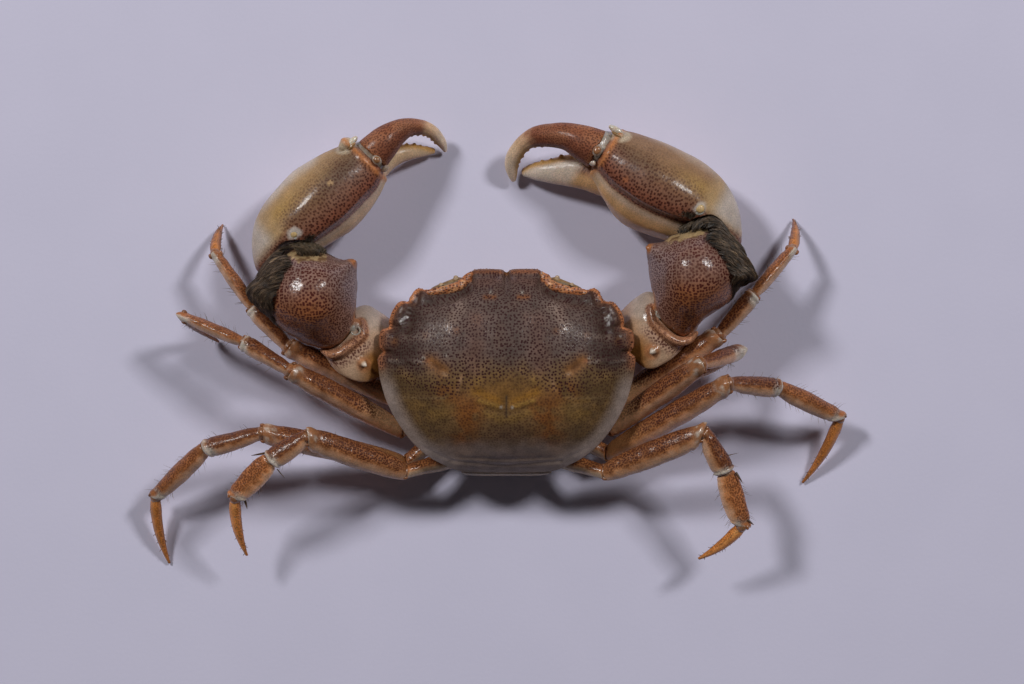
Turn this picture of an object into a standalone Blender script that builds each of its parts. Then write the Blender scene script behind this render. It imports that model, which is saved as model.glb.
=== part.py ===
"""A preserved crab, resting on its tail flap, with its claws bowed in front of it.

The crab faces +Y and its back is up, +Z. The origin is on the midline, on the flat
underside of the tail flap. Every hard plate of the skeleton is its own object.
Sizes below are in millimetres, and are turned into metres where a mesh is made.
"""

import math

import bmesh
import bpy
from mathutils import Vector

MM = 0.001

# Driving dimensions
BACK_HEIGHT = 14.6
GAP = 0.3
LIMB_SIDES = 10
CLAW_SIDES = 18
WRIST_SIDES = 24
ORBIT_DEPTH = 1.3
RIM_THICKNESS = 0.6
SIDE_FLOOR = 6.5
REAR_FLOOR = 5.7
MOUTH_FLOOR = 2.5
TAIL_THICKNESS = 0.9
TAIL_GROOVE = TAIL_THICKNESS + GAP

SIDES = {"left": -1, "right": 1}

# Right half of the edge of the carapace, from the middle of the front to the middle
# of the rear: x, y and height of each corner.
CARAPACE_EDGE = [
    (0.00, 11.75, 8.9),
    (0.75, 12.05, 8.9),
    (3.35, 12.10, 9.0),
    (4.05, 11.80, 9.0),
    (4.20, 11.05, 9.2),
    (4.55, 10.70, 9.4),
    (5.45, 9.75, 9.8),
    (6.70, 9.42, 10.0),
    (7.90, 9.30, 10.0),
    (9.15, 9.15, 9.9),
    (10.10, 9.80, 9.5),
    (10.85, 9.50, 9.5),
    (11.50, 8.35, 9.7),
    (12.60, 8.18, 9.5),
    (13.35, 7.30, 9.5),
    (13.85, 5.95, 9.6),
    (13.90, 5.25, 9.7),
    (14.70, 4.90, 9.6),
    (15.00, 4.20, 9.6),
    (15.00, 3.05, 9.6),
    (14.65, 2.30, 9.7),
    (15.15, 1.65, 9.6),
    (15.10, 0.40, 9.7),
    (14.90, -0.80, 9.7),
    (14.30, -3.00, 9.6),
    (13.50, -4.85, 9.4),
    (12.25, -6.90, 9.1),
    (10.85, -8.65, 8.8),
    (8.85, -10.30, 8.5),
    (6.85, -11.30, 8.2),
    (5.40, -11.80, 8.0),
    (2.95, -11.95, 7.9),
    (0.00, -11.95, 7.9),
]
ORBIT_CORNERS = (5, 9)
BACK_RINGS = (0.2, 0.42, 0.62, 0.78, 0.9, 0.965)
BACK_CURVE = 3.3
TEETH_FROM = 0.8

# Half width, underside at the edge and y of the breast plate, from front to rear
BREAST_STATIONS = [
    (5.5, 2.6, 2.6),
    (4.4, 5.0, 2.2),
    (2.6, 7.2, 2.0),
    (-1.7, 8.2, 1.9),
    (-4.6, 8.2, 1.9),
    (-7.6, 7.6, 2.0),
    (-10.3, 5.2, 2.6),
]
BREAST_TOP = 5.2
BREAST_UNDERSIDE = 0.35

# Path and half width of the tail flap: y, z, half width, from under the carapace's
# rear edge round and forward along the underside
TAIL_STATIONS = [
    (-11.20, 5.15, 5.0),
    (-11.95, 4.90, 5.4),
    (-12.10, 3.90, 5.0),
    (-11.85, 2.20, 4.5),
    (-11.00, 0.80, 4.0),
    (-9.70, 0.45, 3.5),
    (-6.00, 0.45, 2.9),
    (-2.00, 0.45, 2.3),
    (0.60, 0.45, 1.7),
    (1.90, 0.45, 0.9),
]

# Joints of each walking leg, from the breast plate to the tip of the toe
LEG_JOINTS = {
    "leg_1_left": [
        (-8.9, -1.7, 2.9),
        (-12.6, -3.55, 2.9),
        (-25.95, 2.95, 7.3),
        (-30.2, 7.65, 7.0),
        (-34.75, 14.0, 5.6),
        (-34.4, 17.75, 0.25),
    ],
    "leg_2_left": [
        (-8.8, -4.7, 2.9),
        (-12.7, -7.05, 3.4),
        (-25.5, 0.15, 10.3),
        (-31.1, 3.5, 9.8),
        (-38.3, 6.5, 7.6),
        (-34.85, 3.5, 0.25),
    ],
    "leg_3_left": [
        (-8.1, -7.7, 2.9),
        (-12.1, -11.1, 3.4),
        (-28.85, -7.25, 9.0),
        (-35.75, -9.2, 7.6),
        (-42.15, -15.1, 3.6),
        (-40.85, -23.4, 0.25),
    ],
    "leg_4_left": [
        (-6.3, -10.5, 4.2),
        (-12.1, -11.9, 6.6),
        (-23.4, -7.7, 12.3),
        (-27.7, -10.4, 11.8),
        (-32.05, -14.9, 9.4),
        (-31.0, -22.1, 5.2),
    ],
    "leg_1_right": [
        (8.9, -1.7, 2.9),
        (12.6, -4.0, 2.9),
        (25.2, 4.4, 8.2),
        (29.3, 9.15, 8.0),
        (34.1, 14.55, 5.8),
        (34.75, 18.4, 0.25),
    ],
    "leg_2_right": [
        (8.8, -4.7, 2.9),
        (12.6, -6.8, 3.9),
        (22.9, 0.9, 10.7),
        (27.3, 2.2, 5.6),
        (20.9, -1.45, 2.4),
        (14.0, -5.0, 0.3),
    ],
    "leg_3_right": [
        (8.1, -7.7, 2.9),
        (12.1, -9.9, 3.4),
        (26.15, -1.4, 11.2),
        (32.3, -1.95, 7.9),
        (39.95, -5.6, 3.8),
        (35.8, -13.65, 0.25),
    ],
    "leg_4_right": [
        (6.3, -10.5, 4.2),
        (11.7, -12.0, 6.6),
        (23.15, -7.3, 11.8),
        (25.7, -11.85, 10.8),
        (27.8, -18.3, 8.6),
        (22.8, -22.4, 6.0),
    ],
}

# Breadth and depth of the segments of the walking legs, first leg to last
LEG_SIZES = {
    "hip": ((2.5, 2.6), (2.4, 2.6), (2.3, 2.5), (2.2, 2.2)),
    "merus": ((2.9, 2.8), (2.8, 3.0), (2.9, 2.7), (3.1, 2.3)),
    "carpus": ((2.1, 2.1), (2.0, 2.1), (2.25, 2.1), (2.5, 1.9)),
    "propodus": ((1.6, 2.0), (1.5, 2.0), (2.3, 1.8), (2.8, 1.5)),
    "dactyl": ((1.3, 1.3), (1.25, 1.25), (1.35, 1.3), (1.4, 1.1)),
}
# How each segment swells and narrows: share of its length, share of its size
SEGMENT_SHAPES = {
    "hip": ((0.0, 0.95), (0.35, 1.0), (0.55, 0.86), (1.0, 0.8)),
    "merus": ((0.0, 0.62), (0.1, 0.84), (0.4, 1.0), (0.75, 1.0), (0.93, 0.86), (1.0, 0.74)),
    "carpus": ((0.0, 0.64), (0.2, 0.84), (0.6, 1.0), (0.9, 1.02), (1.0, 0.86)),
    "propodus": ((0.0, 0.7), (0.15, 0.94), (0.5, 1.0), (0.88, 0.84), (1.0, 0.68)),
    "dactyl": ((0.0, 0.72), (0.15, 1.0), (0.5, 0.84), (0.8, 0.5), (1.0, 0.2)),
}
SEGMENTS = tuple(SEGMENT_SHAPES)
TOE_BOW = 0.05

# Plan of the arm: x, middle y, half width, underside and top of each station
ARM_STATIONS = {
    "left": [
        (13.05, 2.9, 2.7, 2.4, 6.1),
        (14.9, 3.2, 3.75, 1.9, 8.1),
        (16.7, 3.3, 4.6, 1.6, 9.2),
        (18.6, 3.2, 4.1, 1.6, 9.6),
        (20.4, 3.25, 2.95, 1.8, 9.3),
        (21.9, 3.9, 1.4, 2.8, 8.2),
    ],
    "right": [
        (13.05, 3.9, 2.6, 2.4, 6.1),
        (14.9, 4.85, 3.5, 1.9, 8.1),
        (16.8, 4.9, 4.6, 1.6, 9.2),
        (18.8, 4.9, 3.9, 1.6, 9.6),
        (20.7, 5.3, 2.8, 1.8, 9.2),
        (22.6, 6.3, 1.3, 2.8, 8.0),
    ],
}
SHOULDER_JOINTS = {
    "left": [(-8.3, 4.3, 3.7), (-12.45, 3.0, 4.3)],
    "right": [(8.3, 4.3, 3.7), (12.45, 3.9, 4.3)],
}
SHOULDER_SIZE = (4.2, 4.2)

# Outline of the wrist with its fur, seen from above, from the inner spine round the
# fur and back under the arm
WRIST_OUTLINES = {
    "left": [
        (-17.90, 13.25),
        (-19.55, 13.30),
        (-21.20, 14.31),
        (-22.98, 15.19),
        (-24.63, 15.25),
        (-25.86, 15.11),
        (-27.11, 14.18),
        (-28.47, 12.60),
        (-29.47, 10.94),
        (-30.50, 9.64),
        (-29.83, 8.11),
        (-27.97, 6.48),
        (-26.76, 5.27),
        (-25.10, 4.09),
        (-22.74, 2.91),
        (-20.26, 2.91),
        (-18.65, 4.36),
        (-18.01, 6.10),
        (-17.78, 7.99),
        (-17.66, 10.00),
        (-17.70, 11.90),
    ],
    "right": [
        (16.60, 14.96),
        (18.37, 15.45),
        (19.30, 16.49),
        (20.50, 16.97),
        (21.68, 17.68),
        (22.70, 18.20),
        (24.63, 18.10),
        (26.40, 16.14),
        (27.70, 14.60),
        (28.53, 12.95),
        (29.40, 11.10),
        (28.17, 10.30),
        (27.11, 9.64),
        (26.17, 8.23),
        (24.75, 7.16),
        (23.00, 5.90),
        (21.68, 4.45),
        (20.26, 4.33),
        (18.72, 5.51),
        (17.66, 7.04),
        (17.54, 8.46),
        (16.95, 10.82),
        (16.71, 12.95),
    ],
}
WRIST_CENTRES = {"left": (-23.2, 8.8), "right": (22.4, 11.6)}
# The wrist's rim rises towards its furry outer corner
WRIST_LIFT = 0.3
# Share of the outline and height of each ring of the wrist, from top to bottom
WRIST_RINGS = (
    (0.22, 15.25),
    (0.48, 14.7),
    (0.7, 13.6),
    (0.87, 11.9),
    (0.97, 10.1),
    (1.0, 8.7),
    (0.93, 7.1),
    (0.75, 5.6),
    (0.4, 4.5),
)

# The palm's own axis, from its heel to the hinge of the moving finger
PALM_AXES = {
    "left": ((-26.64, 14.70), (-16.04, 25.55)),
    "right": ((23.65, 17.68), (11.26, 25.43)),
}
# Stations along the palm: distance from the axis's start, then the outer face, the
# inner bulge and the inner upper ridge beside the axis, then the underside and top
PALM_STATIONS = {
    "left": [
        (-4.0, 0.7, -0.9, -0.5, 4.0, 6.4),
        (-3.3, 1.8, -1.8, -1.2, 3.0, 7.6),
        (-2.0, 3.25, -2.4, -1.6, 2.0, 8.8),
        (-0.3, 4.5, -2.7, -1.8, 1.3, 9.8),
        (2.0, 5.25, -2.9, -2.0, 0.9, 10.6),
        (4.6, 5.5, -3.6, -2.6, 0.7, 11.0),
        (7.6, 5.45, -4.3, -3.1, 0.7, 11.0),
        (10.6, 4.75, -4.0, -3.15, 0.9, 10.5),
        (12.9, 3.9, -3.1, -3.0, 1.3, 9.9),
        (14.8, 3.1, -2.2, -2.2, 1.9, 9.4),
    ],
    "right": [
        (-4.9, 0.5, -1.1, -0.8, 4.0, 6.4),
        (-4.2, 1.7, -2.0, -1.2, 3.0, 7.8),
        (-2.4, 3.7, -2.6, -1.4, 1.8, 9.2),
        (-0.1, 5.1, -3.0, -1.4, 1.1, 10.4),
        (2.3, 5.8, -3.9, -1.4, 0.8, 11.2),
        (4.9, 5.95, -4.6, -2.1, 0.6, 11.6),
        (8.2, 5.65, -5.15, -2.5, 0.6, 11.6),
        (11.2, 5.1, -4.15, -2.25, 0.9, 11.0),
        (13.2, 4.55, -2.3, -1.7, 1.3, 10.4),
        (14.7, 3.9, -1.5, -0.9, 1.9, 9.8),
    ],
}
RIDGE_SHARE = 0.72
BULGE_SHARE = 0.36

# Middle line of the fixed finger, with its breadth and depth
FIXED_FINGERS = {
    "left": [
        (-17.2, 23.0, 3.9, 3.8, 3.4),
        (-14.9, 25.05, 3.4, 3.0, 3.0),
        (-13.3, 25.95, 2.9, 2.4, 2.6),
        (-11.8, 26.35, 2.4, 1.95, 2.2),
        (-10.3, 26.5, 1.8, 1.5, 1.6),
        (-8.8, 26.6, 1.1, 0.8, 0.8),
    ],
    "right": [
        (13.0, 22.9, 3.9, 4.8, 3.6),
        (10.0, 23.85, 3.5, 4.45, 3.2),
        (7.6, 24.1, 3.1, 4.0, 2.8),
        (5.2, 24.05, 2.6, 2.9, 2.4),
        (3.4, 24.05, 2.1, 2.1, 1.9),
        (2.0, 24.0, 1.6, 1.0, 1.0),
    ],
}
# Middle line of the moving finger, with its breadth and depth
MOVING_FINGERS = {
    "left": [
        (-15.9, 25.75, 7.5, 4.4, 3.8),
        (-14.5, 27.2, 7.4, 3.9, 3.8),
        (-13.1, 28.4, 6.8, 3.0, 3.2),
        (-11.8, 29.05, 5.9, 2.3, 2.6),
        (-10.35, 29.2, 4.8, 1.85, 2.2),
        (-9.2, 28.9, 3.7, 1.6, 1.8),
        (-8.4, 28.25, 2.7, 1.45, 1.5),
        (-7.75, 27.4, 1.7, 1.1, 1.1),
        (-7.4, 26.6, 0.75, 0.4, 0.5),
    ],
    "right": [
        (10.7, 26.4, 7.6, 4.8, 4.0),
        (9.0, 27.2, 7.5, 4.2, 3.9),
        (7.2, 27.9, 7.1, 3.3, 3.4),
        (5.35, 28.1, 6.4, 2.9, 2.9),
        (3.55, 28.0, 5.5, 2.5, 2.5),
        (2.15, 27.35, 4.5, 2.0, 2.2),
        (1.1, 26.2, 3.5, 1.9, 1.9),
        (0.6, 25.0, 2.6, 1.7, 1.6),
        (0.7, 23.8, 1.8, 1.2, 1.1),
        (0.85, 22.95, 1.2, 0.5, 0.5),
    ],
}

# Eye stalk of the right side: x, y, z and radius
EYE_STATIONS = [
    (5.15, 10.95, 8.1, 0.4),
    (5.75, 10.78, 8.15, 0.62),
    (7.0, 10.4, 8.25, 0.66),
    (7.9, 10.1, 8.3, 0.78),
    (8.6, 9.92, 8.3, 0.72),
    (8.95, 9.82, 8.3, 0.4),
]
# Plate over the mouth, right side: y, z, inner edge, outer edge, thickness
MOUTH_STATIONS = [
    (5.9, 1.10, 0.2, 2.6, 0.9),
    (7.0, 1.25, 0.2, 3.1, 0.9),
    (8.2, 2.00, 0.2, 3.2, 0.9),
    (9.3, 3.35, 0.2, 3.1, 0.9),
    (10.3, 4.80, 0.3, 2.4, 0.6),
]

COLOURS = {
    "carapace": (0.105, 0.070, 0.050),
    "breast": (0.620, 0.520, 0.400),
    "tail": (0.600, 0.500, 0.380),
    "mouth": (0.560, 0.440, 0.310),
    "eye": (0.030, 0.022, 0.015),
    "shoulder": (0.560, 0.420, 0.270),
    "arm": (0.560, 0.370, 0.190),
    "wrist": (0.190, 0.085, 0.060),
    "palm": (0.330, 0.180, 0.085),
    "finger": (0.360, 0.130, 0.065),
    "hip": (0.420, 0.220, 0.100),
    "merus": (0.300, 0.120, 0.050),
    "carpus": (0.280, 0.105, 0.045),
    "propodus": (0.310, 0.125, 0.052),
    "dactyl": (0.340, 0.140, 0.055),
}
SHELL_ROUGHNESS = 0.32


def make_material(name):
    """One glossy shell material for each kind of plate."""
    material = bpy.data.materials.new(name + "_shell")
    material.use_nodes = True
    shader = material.node_tree.nodes["Principled BSDF"]
    shader.inputs["Base Color"].default_value = (*COLOURS[name], 1.0)
    shader.inputs["Roughness"].default_value = SHELL_ROUGHNESS
    shader.inputs["Metallic"].default_value = 0.0
    material.diffuse_color = (*COLOURS[name], 1.0)
    return material


def closed_curve(corners, count):
    """Points on a smooth closed curve through the corners."""
    points = []
    total = len(corners)
    for i in range(count):
        place = i * total / count
        k = int(place)
        t = place - k
        a, b, c, d = (Vector(corners[(k + j) % total]) for j in (-1, 0, 1, 2))
        points.append(
            0.5 * (2 * b + (c - a) * t + (2 * a - 5 * b + 4 * c - d) * t * t
                   + (3 * b - a - 3 * c + d) * t * t * t)
        )
    return points


def ellipse_ring(centre, side, up, breadth, depth, count):
    """A ring of points around the centre, breadth across and depth high."""
    ring = []
    for i in range(count):
        angle = 2 * math.pi * i / count
        ring.append(
            centre
            + side * (breadth / 2 * math.cos(angle))
            + up * (depth / 2 * math.sin(angle))
        )
    return ring


def limb_frame(direction):
    """The level side direction and the up direction of a limb that points this way."""
    side = direction.cross(Vector((0, 0, 1))).normalized()
    return side, side.cross(direction).normalized()


def tube_rings(stations, count):
    """Rings square to a middle line whose stations give x, y, z, breadth and depth."""
    points = [Vector(station[:3]) for station in stations]
    rings = []
    for i, station in enumerate(stations):
        before = points[max(i - 1, 0)]
        after = points[min(i + 1, len(points) - 1)]
        side, up = limb_frame((after - before).normalized())
        rings.append(ellipse_ring(points[i], side, up, station[3], station[4], count))
    return rings


def segment_rings(joints, index, kind, size):
    """Rings of one limb segment, with both ends cut on the halved angle of the bend."""
    start, end = joints[index], joints[index + 1]
    direction = (end - start).normalized()
    side, up = limb_frame(direction)
    cuts = []
    for other, sign in ((index - 1, 1), (index + 2, -1)):
        if 0 <= other < len(joints):
            near = start if sign == 1 else end
            beyond = (near - joints[other]).normalized() * sign
            cuts.append((direction + beyond).normalized())
        else:
            cuts.append(direction)
    length = (end - start).length
    bow_up = -cuts[0] + direction * cuts[0].dot(direction)
    rings = []
    for share, swell in SEGMENT_SHAPES[kind]:
        breadth, depth = size[0] * swell, size[1] * swell
        centre = start + direction * length * share
        if kind == "dactyl" and bow_up.length > 0.01:
            bow = 4 * share * (1 - share) * TOE_BOW * length
            centre = centre - bow_up.normalized() * bow
        ring = ellipse_ring(centre, side, up, breadth, depth, LIMB_SIDES)
        for cut, nearness, sign in (
            (cuts[0], max(0.0, 1 - 3 * share), 1),
            (cuts[1], max(0.0, 1 - 3 * (1 - share)), -1),
        ):
            slope = cut.dot(direction)
            inset = sign * GAP / 2 / slope
            for i, point in enumerate(ring):
                slide = inset - cut.dot(point - centre) / slope
                ring[i] = point + direction * slide * nearness
        rings.append(ring)
    return rings


def full_edge():
    """The whole edge of the carapace, going round from the middle of the front."""
    right = [Vector(corner) for corner in CARAPACE_EDGE]
    left = [Vector((-p.x, p.y, p.z)) for p in reversed(right[1:-1])]
    return right + left


def eased(points, passes):
    """The closed line with its corners smoothed away."""
    for _ in range(passes):
        points = [
            (points[i - 1] + points[i] * 2 + points[(i + 1) % len(points)]) / 4
            for i in range(len(points))
        ]
    return points


def ramp(value, low, high):
    """0 below low, 1 above high, and smooth between them."""
    t = min(max((value - low) / (high - low), 0.0), 1.0)
    return t * t * (3 - 2 * t)


def carapace_rings():
    """Rings from the top of the back out to the toothed edge, then down and under."""
    edge = full_edge()
    smooth = eased(edge, 5)
    rings = []
    for share in BACK_RINGS + (1.0,):
        toothed = ramp(share, TEETH_FROM, 1.0)
        ring = []
        for sharp, soft in zip(edge, smooth):
            rim = soft.lerp(sharp, toothed)
            height = BACK_HEIGHT - (BACK_HEIGHT - rim.z) * share**BACK_CURVE
            ring.append(Vector((rim.x * share, rim.y * share, height)))
        rings.append(ring)
    count = len(edge)
    walls = [[] for _ in range(6)]
    for i, (sharp, soft) in enumerate(zip(edge, smooth)):
        corner = min(i, count - i)
        in_orbit = ORBIT_CORNERS[0] <= corner <= ORBIT_CORNERS[1]
        angle = math.degrees(math.atan2(soft.y, abs(soft.x)))
        face = ramp(angle, 40, 56)
        rear = ramp(-angle, 25, 60)
        roof = SIDE_FLOOR + (REAR_FLOOR - SIDE_FLOOR) * rear
        floor = roof + (MOUTH_FLOOR - roof) * face
        recess = 1 - ORBIT_DEPTH / soft.length if in_orbit else 0.965
        cheek = 0.9 + 0.02 * rear - 0.03 * face
        inside = 0.78 + 0.12 * rear
        levels = (
            (0.992, sharp.z - RIM_THICKNESS, sharp),
            (recess, sharp.z - 1.2, soft),
            (min(cheek, recess), sharp.z - 2.1 - 0.5 * face, soft),
            (inside + (0.64 - inside) * face, floor, soft),
            (inside - 0.05 + (0.62 - inside) * face, floor, soft),
            (inside - 0.12 + (0.66 - inside) * face, roof, soft),
        )
        for wall, (share, height, source) in zip(walls, levels):
            wall.append(Vector((source.x * share, source.y * share, height)))
    return rings + walls


def tail_half_width(y):
    """Half width of the part of the tail flap that lies along the underside."""
    flat = [(station[0], station[2]) for station in TAIL_STATIONS[4:]]
    for (y0, half0), (y1, half1) in zip(flat, flat[1:]):
        if y <= y1:
            share = max((y - y0) / (y1 - y0), 0.0)
            return half0 + (half1 - half0) * share
    return flat[-1][1] * max(1 - (y - flat[-1][0]), 0.0)


def breast_rings():
    """Cross-sections of the breast plate, grooved below for the tail flap."""
    rings = []
    for y, half, edge_height in BREAST_STATIONS:
        notch = min(tail_half_width(y) + 0.4, half * 0.85)
        flat = notch + 0.3
        right = [
            (notch, TAIL_GROOVE),
            (flat, BREAST_UNDERSIDE),
            (max(half * 0.75, flat + 0.2), BREAST_UNDERSIDE + 0.15),
            (half, edge_height),
            (half, BREAST_TOP - 0.9),
            (half * 0.88, BREAST_TOP),
        ]
        section = right + [(-x, z) for x, z in reversed(right)]
        rings.append([Vector((x, y, z)) for x, z in section])
    return rings


def tail_rings():
    """Cross-sections of the tail flap along its folded path."""
    rings = []
    for i, (y, z, half) in enumerate(TAIL_STATIONS):
        before = TAIL_STATIONS[max(i - 1, 0)]
        after = TAIL_STATIONS[min(i + 1, len(TAIL_STATIONS) - 1)]
        along = Vector((0, after[0] - before[0], after[1] - before[1])).normalized()
        outward = Vector((0, along.z, -along.y))
        half_thick = TAIL_THICKNESS / 2
        centre = Vector((0, y, z))
        section = []
        for across, out in ((-1, -0.6), (-0.8, -1), (0.8, -1), (1, -0.6), (1, 0.6),
                            (0.86, 1), (-0.86, 1), (-1, 0.6)):
            section.append(
                centre + Vector((across * half, 0, 0)) + outward * out * half_thick
            )
        rings.append(section)
    return rings


def mouth_rings(side):
    rings = []
    for i, (y, z, inner, outer, thickness) in enumerate(MOUTH_STATIONS):
        before = MOUTH_STATIONS[max(i - 1, 0)]
        after = MOUTH_STATIONS[min(i + 1, len(MOUTH_STATIONS) - 1)]
        along = Vector((0, after[0] - before[0], after[1] - before[1])).normalized()
        outward = Vector((0, along.z, -along.y))
        middle = Vector((side * (inner + outer) / 2, y, z))
        half = (outer - inner) / 2
        section = []
        for across, out in ((-1, -0.5), (-0.7, -1), (0.7, -1), (1, -0.5), (1, 0.4),
                            (0.7, 1), (-0.7, 1), (-1, 0.4)):
            section.append(
                middle + Vector((across * half, 0, 0)) + outward * out * thickness / 2
            )
        rings.append(section)
    return rings


def eye_rings(side):
    stations = [(side * x, y, z, 2 * r, 2 * r) for x, y, z, r in EYE_STATIONS]
    return tube_rings(stations, LIMB_SIDES)


def arm_rings(side):
    """Three-edged sections of the arm, which flares out to the wrist's socket."""
    sign = SIDES[side]
    rings = []
    for x, middle, half, low, high in ARM_STATIONS[side]:
        height = high - low
        corners = [
            (middle - half, low + 0.86 * height),
            (middle - 0.2 * half, high),
            (middle + 0.55 * half, low + 0.93 * height),
            (middle + half, low + 0.6 * height),
            (middle + 0.8 * half, low + 0.22 * height),
            (middle + 0.25 * half, low),
            (middle - 0.1 * half, low + 0.28 * height),
            (middle - 0.5 * half, low + 0.64 * height),
        ]
        section = closed_curve([(sign * x, y, z) for y, z in corners], 16)
        rings.append(section)
    return rings


def wrist_rings(side, extra=0.0):
    """Rings of the wrist from its top to its bottom, grown by extra."""
    centre = Vector((*WRIST_CENTRES[side], 9.0))
    outline = closed_curve([(x, y, 0.0) for x, y in WRIST_OUTLINES[side]], WRIST_SIDES)
    rings = []
    for share, height in WRIST_RINGS:
        ring = []
        for corner in outline:
            x = (corner.x - centre.x) * share
            y = (corner.y - centre.y) * share
            lift = WRIST_LIFT * max(x * SIDES[side], 0.0)
            lift *= 1 - ramp(height, 11.0, 15.5)
            point = Vector((centre.x + x, centre.y + y, height + lift))
            ring.append(point + (point - centre).normalized() * extra)
        rings.append(ring)
    return rings


def palm_rings(side):
    """Cross-sections of the palm, flat outside and bulged inside."""
    heel, hinge = (Vector((x, y, 0)) for x, y in PALM_AXES[side])
    along = (hinge - heel).normalized()
    outward = along.cross(Vector((0, 0, 1))) * SIDES[side]
    rings = []
    for distance, outer, inner, ridge, low, high in PALM_STATIONS[side]:
        height = high - low
        corners = [
            (outer, low + 0.46 * height),
            (outer * 0.86, low + 0.76 * height),
            (outer * 0.3 + ridge * 0.1, high),
            (ridge * 0.75, low + 0.93 * height),
            (ridge, low + RIDGE_SHARE * height),
            (inner, low + BULGE_SHARE * height),
            (inner * 0.7, low + 0.1 * height),
            (outer * 0.2, low),
            (outer * 0.8, low + 0.16 * height),
        ]
        base = heel + along * distance
        corners = [base + outward * n + Vector((0, 0, z)) for n, z in corners]
        rings.append(closed_curve(corners, CLAW_SIDES))
    return rings


def add_loft(name, rings, material, collection):
    """A closed skin over the rings, capped at both ends."""
    count = len(rings[0])
    points = [point * MM for ring in rings for point in ring]
    faces = []
    for row in range(len(rings) - 1):
        for i in range(count):
            j = (i + 1) % count
            faces.append(
                (row * count + i, row * count + j,
                 (row + 1) * count + j, (row + 1) * count + i)
            )
    faces.append(tuple(range(count)))
    faces.append(tuple(range(len(points) - count, len(points))))
    mesh = bpy.data.meshes.new(name)
    mesh.from_pydata(points, [], faces)
    shell = bmesh.new()
    shell.from_mesh(mesh)
    bmesh.ops.recalc_face_normals(shell, faces=shell.faces)
    shell.to_mesh(mesh)
    shell.free()
    mesh.shade_smooth()
    mesh.set_sharp_from_angle(angle=math.radians(50))
    mesh.materials.append(material)
    piece = bpy.data.objects.new(name, mesh)
    collection.objects.link(piece)
    return piece


def add_cutter(name, rings, material, collection):
    cutter = add_loft(name, rings, material, collection)
    cutter.hide_render = True
    cutter.display_type = "WIRE"
    return cutter


def cut_or_join(piece, tool, operation):
    modifier = piece.modifiers.new(operation.lower() + "_" + tool.name, "BOOLEAN")
    modifier.operation = operation
    modifier.solver = "EXACT"
    modifier.object = tool


def add_body(crab, materials):
    add_loft("carapace", carapace_rings(), materials["carapace"], crab)
    add_loft("sternum", breast_rings(), materials["breast"], crab)
    add_loft("tail_flap", tail_rings(), materials["tail"], crab)
    for side, sign in SIDES.items():
        add_loft("mouth_plate_" + side, mouth_rings(sign), materials["mouth"], crab)
        add_loft("eye_" + side, eye_rings(sign), materials["eye"], crab)


def add_claw(side, crab, cutters, materials):
    joints = [Vector(joint) for joint in SHOULDER_JOINTS[side]]
    add_loft(
        "claw_hip_" + side,
        segment_rings(joints, 0, "hip", SHOULDER_SIZE),
        materials["shoulder"],
        crab,
    )
    arm = add_loft("claw_arm_" + side, arm_rings(side), materials["arm"], crab)
    add_loft("claw_wrist_" + side, wrist_rings(side), materials["wrist"], crab)
    palm = add_loft("claw_palm_" + side, palm_rings(side), materials["palm"], crab)
    add_loft(
        "claw_finger_" + side,
        tube_rings(MOVING_FINGERS[side], LIMB_SIDES),
        materials["finger"],
        crab,
    )
    socket = add_cutter(
        "wrist_socket_" + side, wrist_rings(side, GAP + 0.1), materials["wrist"], cutters
    )
    fixed = add_cutter(
        "fixed_finger_" + side,
        tube_rings(FIXED_FINGERS[side], LIMB_SIDES),
        materials["palm"],
        cutters,
    )
    cut_or_join(arm, socket, "DIFFERENCE")
    cut_or_join(palm, fixed, "UNION")
    cut_or_join(palm, socket, "DIFFERENCE")


def add_legs(crab, materials):
    for name, corners in LEG_JOINTS.items():
        joints = [Vector(corner) for corner in corners]
        number = int(name.split("_")[1]) - 1
        for index, kind in enumerate(SEGMENTS):
            rings = segment_rings(joints, index, kind, LEG_SIZES[kind][number])
            add_loft(name + "_" + kind, rings, materials[kind], crab)


def clear_scene():
    for old in list(bpy.data.objects):
        bpy.data.objects.remove(old, do_unlink=True)


def main():
    clear_scene()
    crab = bpy.data.collections.new("crab")
    cutters = bpy.data.collections.new("cutters")
    for collection in (crab, cutters):
        bpy.context.scene.collection.children.link(collection)
    materials = {name: make_material(name) for name in COLOURS}
    add_body(crab, materials)
    for side in SIDES:
        add_claw(side, crab, cutters, materials)
    add_legs(crab, materials)


main()
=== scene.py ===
"""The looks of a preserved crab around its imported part, with the floor, light and camera.

Sizes are in millimetres and are turned into metres where a mesh is made. The crab faces
+Y, its back is up, and its right side is +X.
"""

import math

import bpy
import numpy as np
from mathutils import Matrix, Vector


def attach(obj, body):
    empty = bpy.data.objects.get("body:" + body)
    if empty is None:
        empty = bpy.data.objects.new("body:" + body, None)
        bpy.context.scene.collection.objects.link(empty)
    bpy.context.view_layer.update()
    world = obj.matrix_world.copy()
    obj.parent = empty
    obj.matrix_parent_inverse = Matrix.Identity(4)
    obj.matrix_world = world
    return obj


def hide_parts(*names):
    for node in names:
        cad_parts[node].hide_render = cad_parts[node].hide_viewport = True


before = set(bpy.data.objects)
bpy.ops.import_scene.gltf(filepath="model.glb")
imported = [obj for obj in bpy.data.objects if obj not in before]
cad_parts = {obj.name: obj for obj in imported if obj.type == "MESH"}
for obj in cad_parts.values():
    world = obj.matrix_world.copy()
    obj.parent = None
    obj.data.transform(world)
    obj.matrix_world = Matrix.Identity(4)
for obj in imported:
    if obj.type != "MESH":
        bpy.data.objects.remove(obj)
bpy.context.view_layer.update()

MM = 0.001
SIDES = {"left": -1, "right": 1}
UP = np.array([0.0, 0.0, 1.0])
random = np.random.default_rng(11)

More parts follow.
